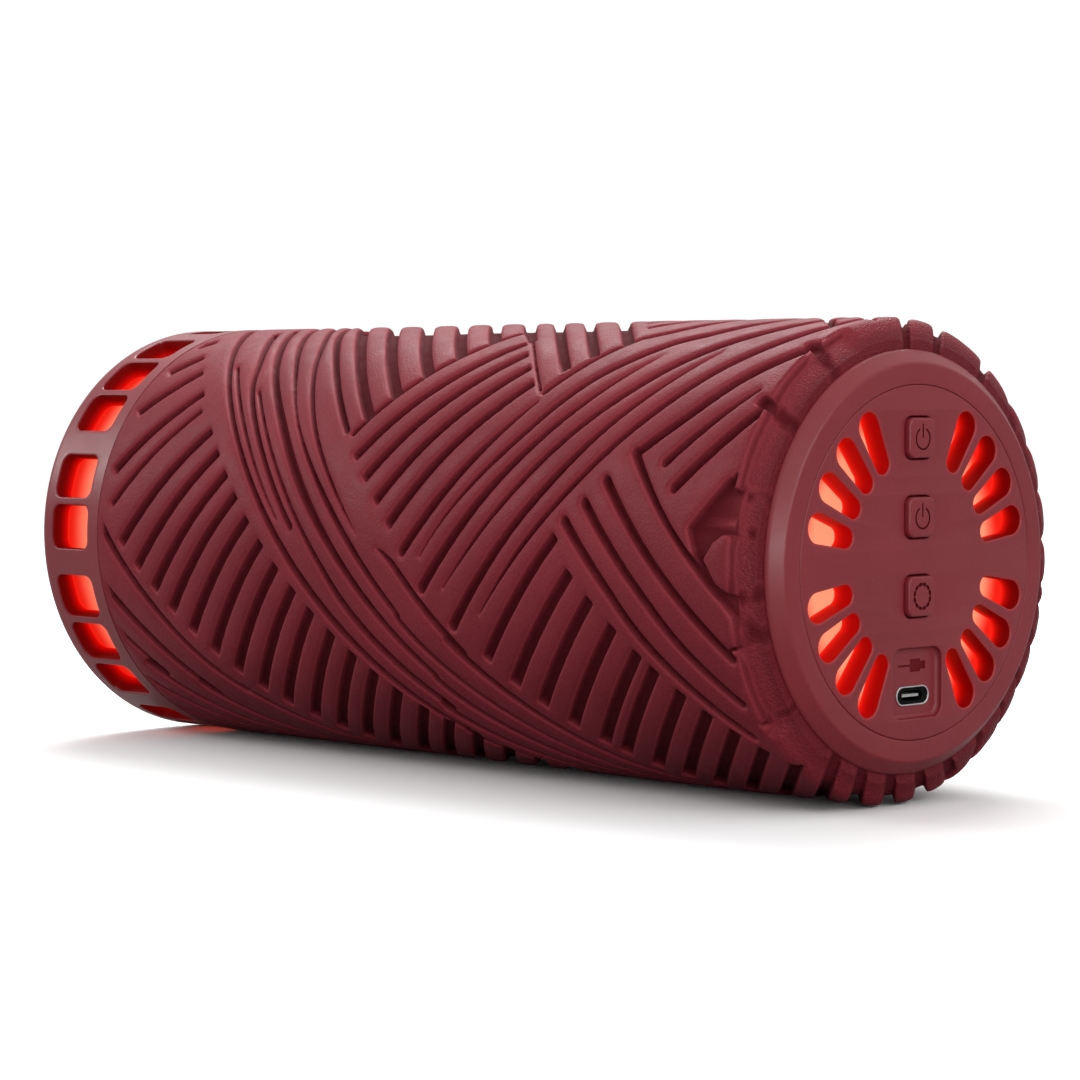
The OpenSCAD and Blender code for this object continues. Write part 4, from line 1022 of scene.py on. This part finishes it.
def build_band():
    """The band's skin: each window is a sector between its outline and a rectangle, with soft rims."""
    band_x0, verts, faces, slots = x_far + 3.2 * MM, [], [], []
    inner = window_outline()
    count = len(inner)

    def add(points):
        verts.extend(about_axis(x, r, turn) for x, turn, r in points)
        return range(len(verts) - count, len(verts))

    def outline(mid, spread, sink=0.0):
        wide, tall, turn = 1 + spread * MM / WINDOW_HALF, 1 + spread * MM / window_half_a, math.radians(mid)
        return [(window_x + dx * wide, turn + da * tall / band_r, band_r - sink * MM) for dx, da in inner]

    for mid, (a0, a1) in zip(angles, sectors):
        corners = [(band_x0, a0), (foam_x0, a0), (foam_x0, a1), (band_x0, a1)]
        outer = []
        for p, q in zip(corners, corners[1:] + corners[:1]):
            outer += between(p, q, SIDE_STEPS)
        loops = []
        for grow in (1.0, 0.55, 0.22):
            pairs = zip(outer, outline(mid, 0.4))
            loops.append(add((x + (ox - x) * grow, a + (oa - a) * grow, r) for (ox, oa), (x, a, r) in pairs))
        for spread, sink in ((0.4, 0.0), (0.2, 0.05), (0.06, 0.18), (0.0, 0.45), (0.0, 1.6), (0.0, 3.0)):
            loops.append(add(outline(mid, spread, sink)))
        loops.append(add((x, a, band_r - BAND_WALL) for x, a in outer))
        for level, (first, second) in enumerate(zip(loops, loops[1:])):
            for i in range(count):
                j = (i + 1) % count
                faces.append((first[i], first[j], second[j], second[i]))
                slots.append(1 if level >= 6 else 0)
    mesh = new_mesh("band", verts, faces)
    mesh.polygons.foreach_set("material_index", slots)
    return mesh


band_turns = [a0 + (a1 - a0) * i / SIDE_STEPS for a0, a1 in sectors for i in range(SIDE_STEPS)]
face_in = disc_r + 0.2 * MM
edge_profile = offsets(band_r, x_far, (0, 3.2)) + rounding(band_r, x_far, (0, 3.1), (-3.1, 0), (0, 0), 9)
edge_profile += offsets(face_in, x_far, (0.9, 0)) + rounding(face_in, x_far, (0.5, 0), (0, 0.5), (0, 0), 4)
edge_profile += offsets(face_in, x_far, (0, 3.2)) + offsets(band_r - BAND_WALL, x_far, (0, 3.2))
rim_profile = [(band_r - BAND_WALL, foam_x0), (band_r, foam_x0)]
band = [build_band(), lathe("far_edge", edge_profile, band_turns), lathe("far_rim", rim_profile, band_turns)]
piece_of("window_band", [(shell_mat, band), (far_well_mat, [])], "far_shell", merge=4e-6)

# The far cover: a shallow dish, a groove and a soft edge
cover = offsets(0.0, x_far, (0, 0.9), (14, 0.9), (17, 0.85), (20, 0.55), (23, 0.2), (26, 0.03), (28, 0))
cover += offsets(disc_r, x_far, (-4.6, 0), (-4.2, 0.35), (-3.6, 0.35), (-3.2, 0), (-0.6, 0))
cover += rounding(disc_r, x_far, (-0.5, 0), (0, 0.5), (0, 0), 4)
cover += offsets(disc_r, x_far, (0, 3.6), (-2, 3.6), (-2, 2.2)) + offsets(0.0, x_far, (0, 2.2))
piece_of("far_cap_cover", [(shell_mat, [lathe("cover", cover)])], "far_cover")

# ---- Floor, light and camera ----
# The floor and the sky look white to the camera, and give the roller less light than that from below.

FLOOR_HALF = 4.0
FLOOR_SEEN, FLOOR_NEAR, FLOOR_BOUNCE = 1.25, 0.97, 0.31
SKY_LOW, SKY_HIGH, SKY_SEEN = 0.46, 0.92, 1.05


def white_floor():
    corners = [(x * FLOOR_HALF, y * FLOOR_HALF, 0) for x, y in ((-1, -1), (1, -1), (1, 1), (-1, 1))]
    piece = new_object("studio_floor", new_mesh("studio_floor", corners, [(0, 1, 2, 3)]))
    s = Shade("white_floor")
    s.set(Base_Color=(*[FLOOR_BOUNCE] * 3, 1), Roughness=0.8, Specular_IOR_Level=0.1)
    away = s.hypot(s.place()[0], s.place()[1])
    # Painted shade: the floor that the camera sees is darker near the roller, so the roller's shadow reads
    # darker there
    fade = s.math("MULTIPLY_ADD", s.noise(3), 0.04, s.span(away, 0.25, 0.9))
    seen = s.node("BsdfDiffuse")
    s.put(seen.inputs["Color"], s.mix(fade, (FLOOR_NEAR,) * 3, (FLOOR_SEEN,) * 3))
    s.put(s.tree.nodes["Material Output"].inputs["Surface"], s.by_camera(s.bsdf.outputs[0], seen.outputs[0]))
    piece.data.materials.append(s.mat)


def white_sky():
    scene.world = bpy.data.worlds.new("studio")
    scene.world.use_nodes = True
    n = Nodes(scene.world.node_tree)
    height = n.node("SeparateXYZ")
    n.put(height.inputs[0], n.node("TexCoord").outputs["Generated"])
    back, seen = n.tree.nodes["Background"], n.node("Background")
    n.put(back.inputs["Strength"], n.span(height.outputs[2], -0.1, 0.9, SKY_LOW, SKY_HIGH))
    n.put(seen.inputs["Strength"], SKY_SEEN)
    for shader in (back, seen):
        n.put(shader.inputs["Color"], (1, 1, 1, 1))
    n.put(n.tree.nodes["World Output"].inputs["Surface"], n.by_camera(back.outputs[0], seen.outputs[0]))


def softbox(name, at, aim, size, power):
    data = bpy.data.lights.new(name, "AREA")
    data.shape = "RECTANGLE"
    data.size, data.size_y = size
    data.energy = power
    lamp = new_object(name, data)
    lamp.location = at
    lamp.rotation_euler = (Vector(aim) - Vector(at)).to_track_quat("-Z", "Y").to_euler()


white_floor()
white_sky()
softbox("overhead", (-0.45, 0.5, 1.05), (0, 0, 0.06), (1.0, 0.6), 15)
softbox("front_left", (-1.25, -1.0, 0.85), (0, 0, 0.06), (0.6, 0.6), 9)
softbox("cap_side", (1.5, -0.1, 0.75), (0.15, 0, 0.06), (0.8, 0.6), 4.8)
softbox("low_fill", (1.3, -0.75, 0.22), (0.15, 0, 0.05), (0.6, 0.35), 4.6)

CAMERA_AT = (0.69057, -0.6577, 0.11006)
CAMERA_DOWN, CAMERA_TURN = 2.649, 46.078  # degrees below the level, and round from the +Y direction
camera = new_object("camera", bpy.data.cameras.new("camera"))
camera.location = CAMERA_AT
camera.rotation_euler = (math.radians(90 - CAMERA_DOWN), 0, math.radians(CAMERA_TURN))
camera.data.lens = 107.39
camera.data.sensor_width = 36
camera.data.clip_start = 0.01
scene.camera = camera
scene.view_settings.view_transform = "Standard"
scene.view_settings.look = "None"
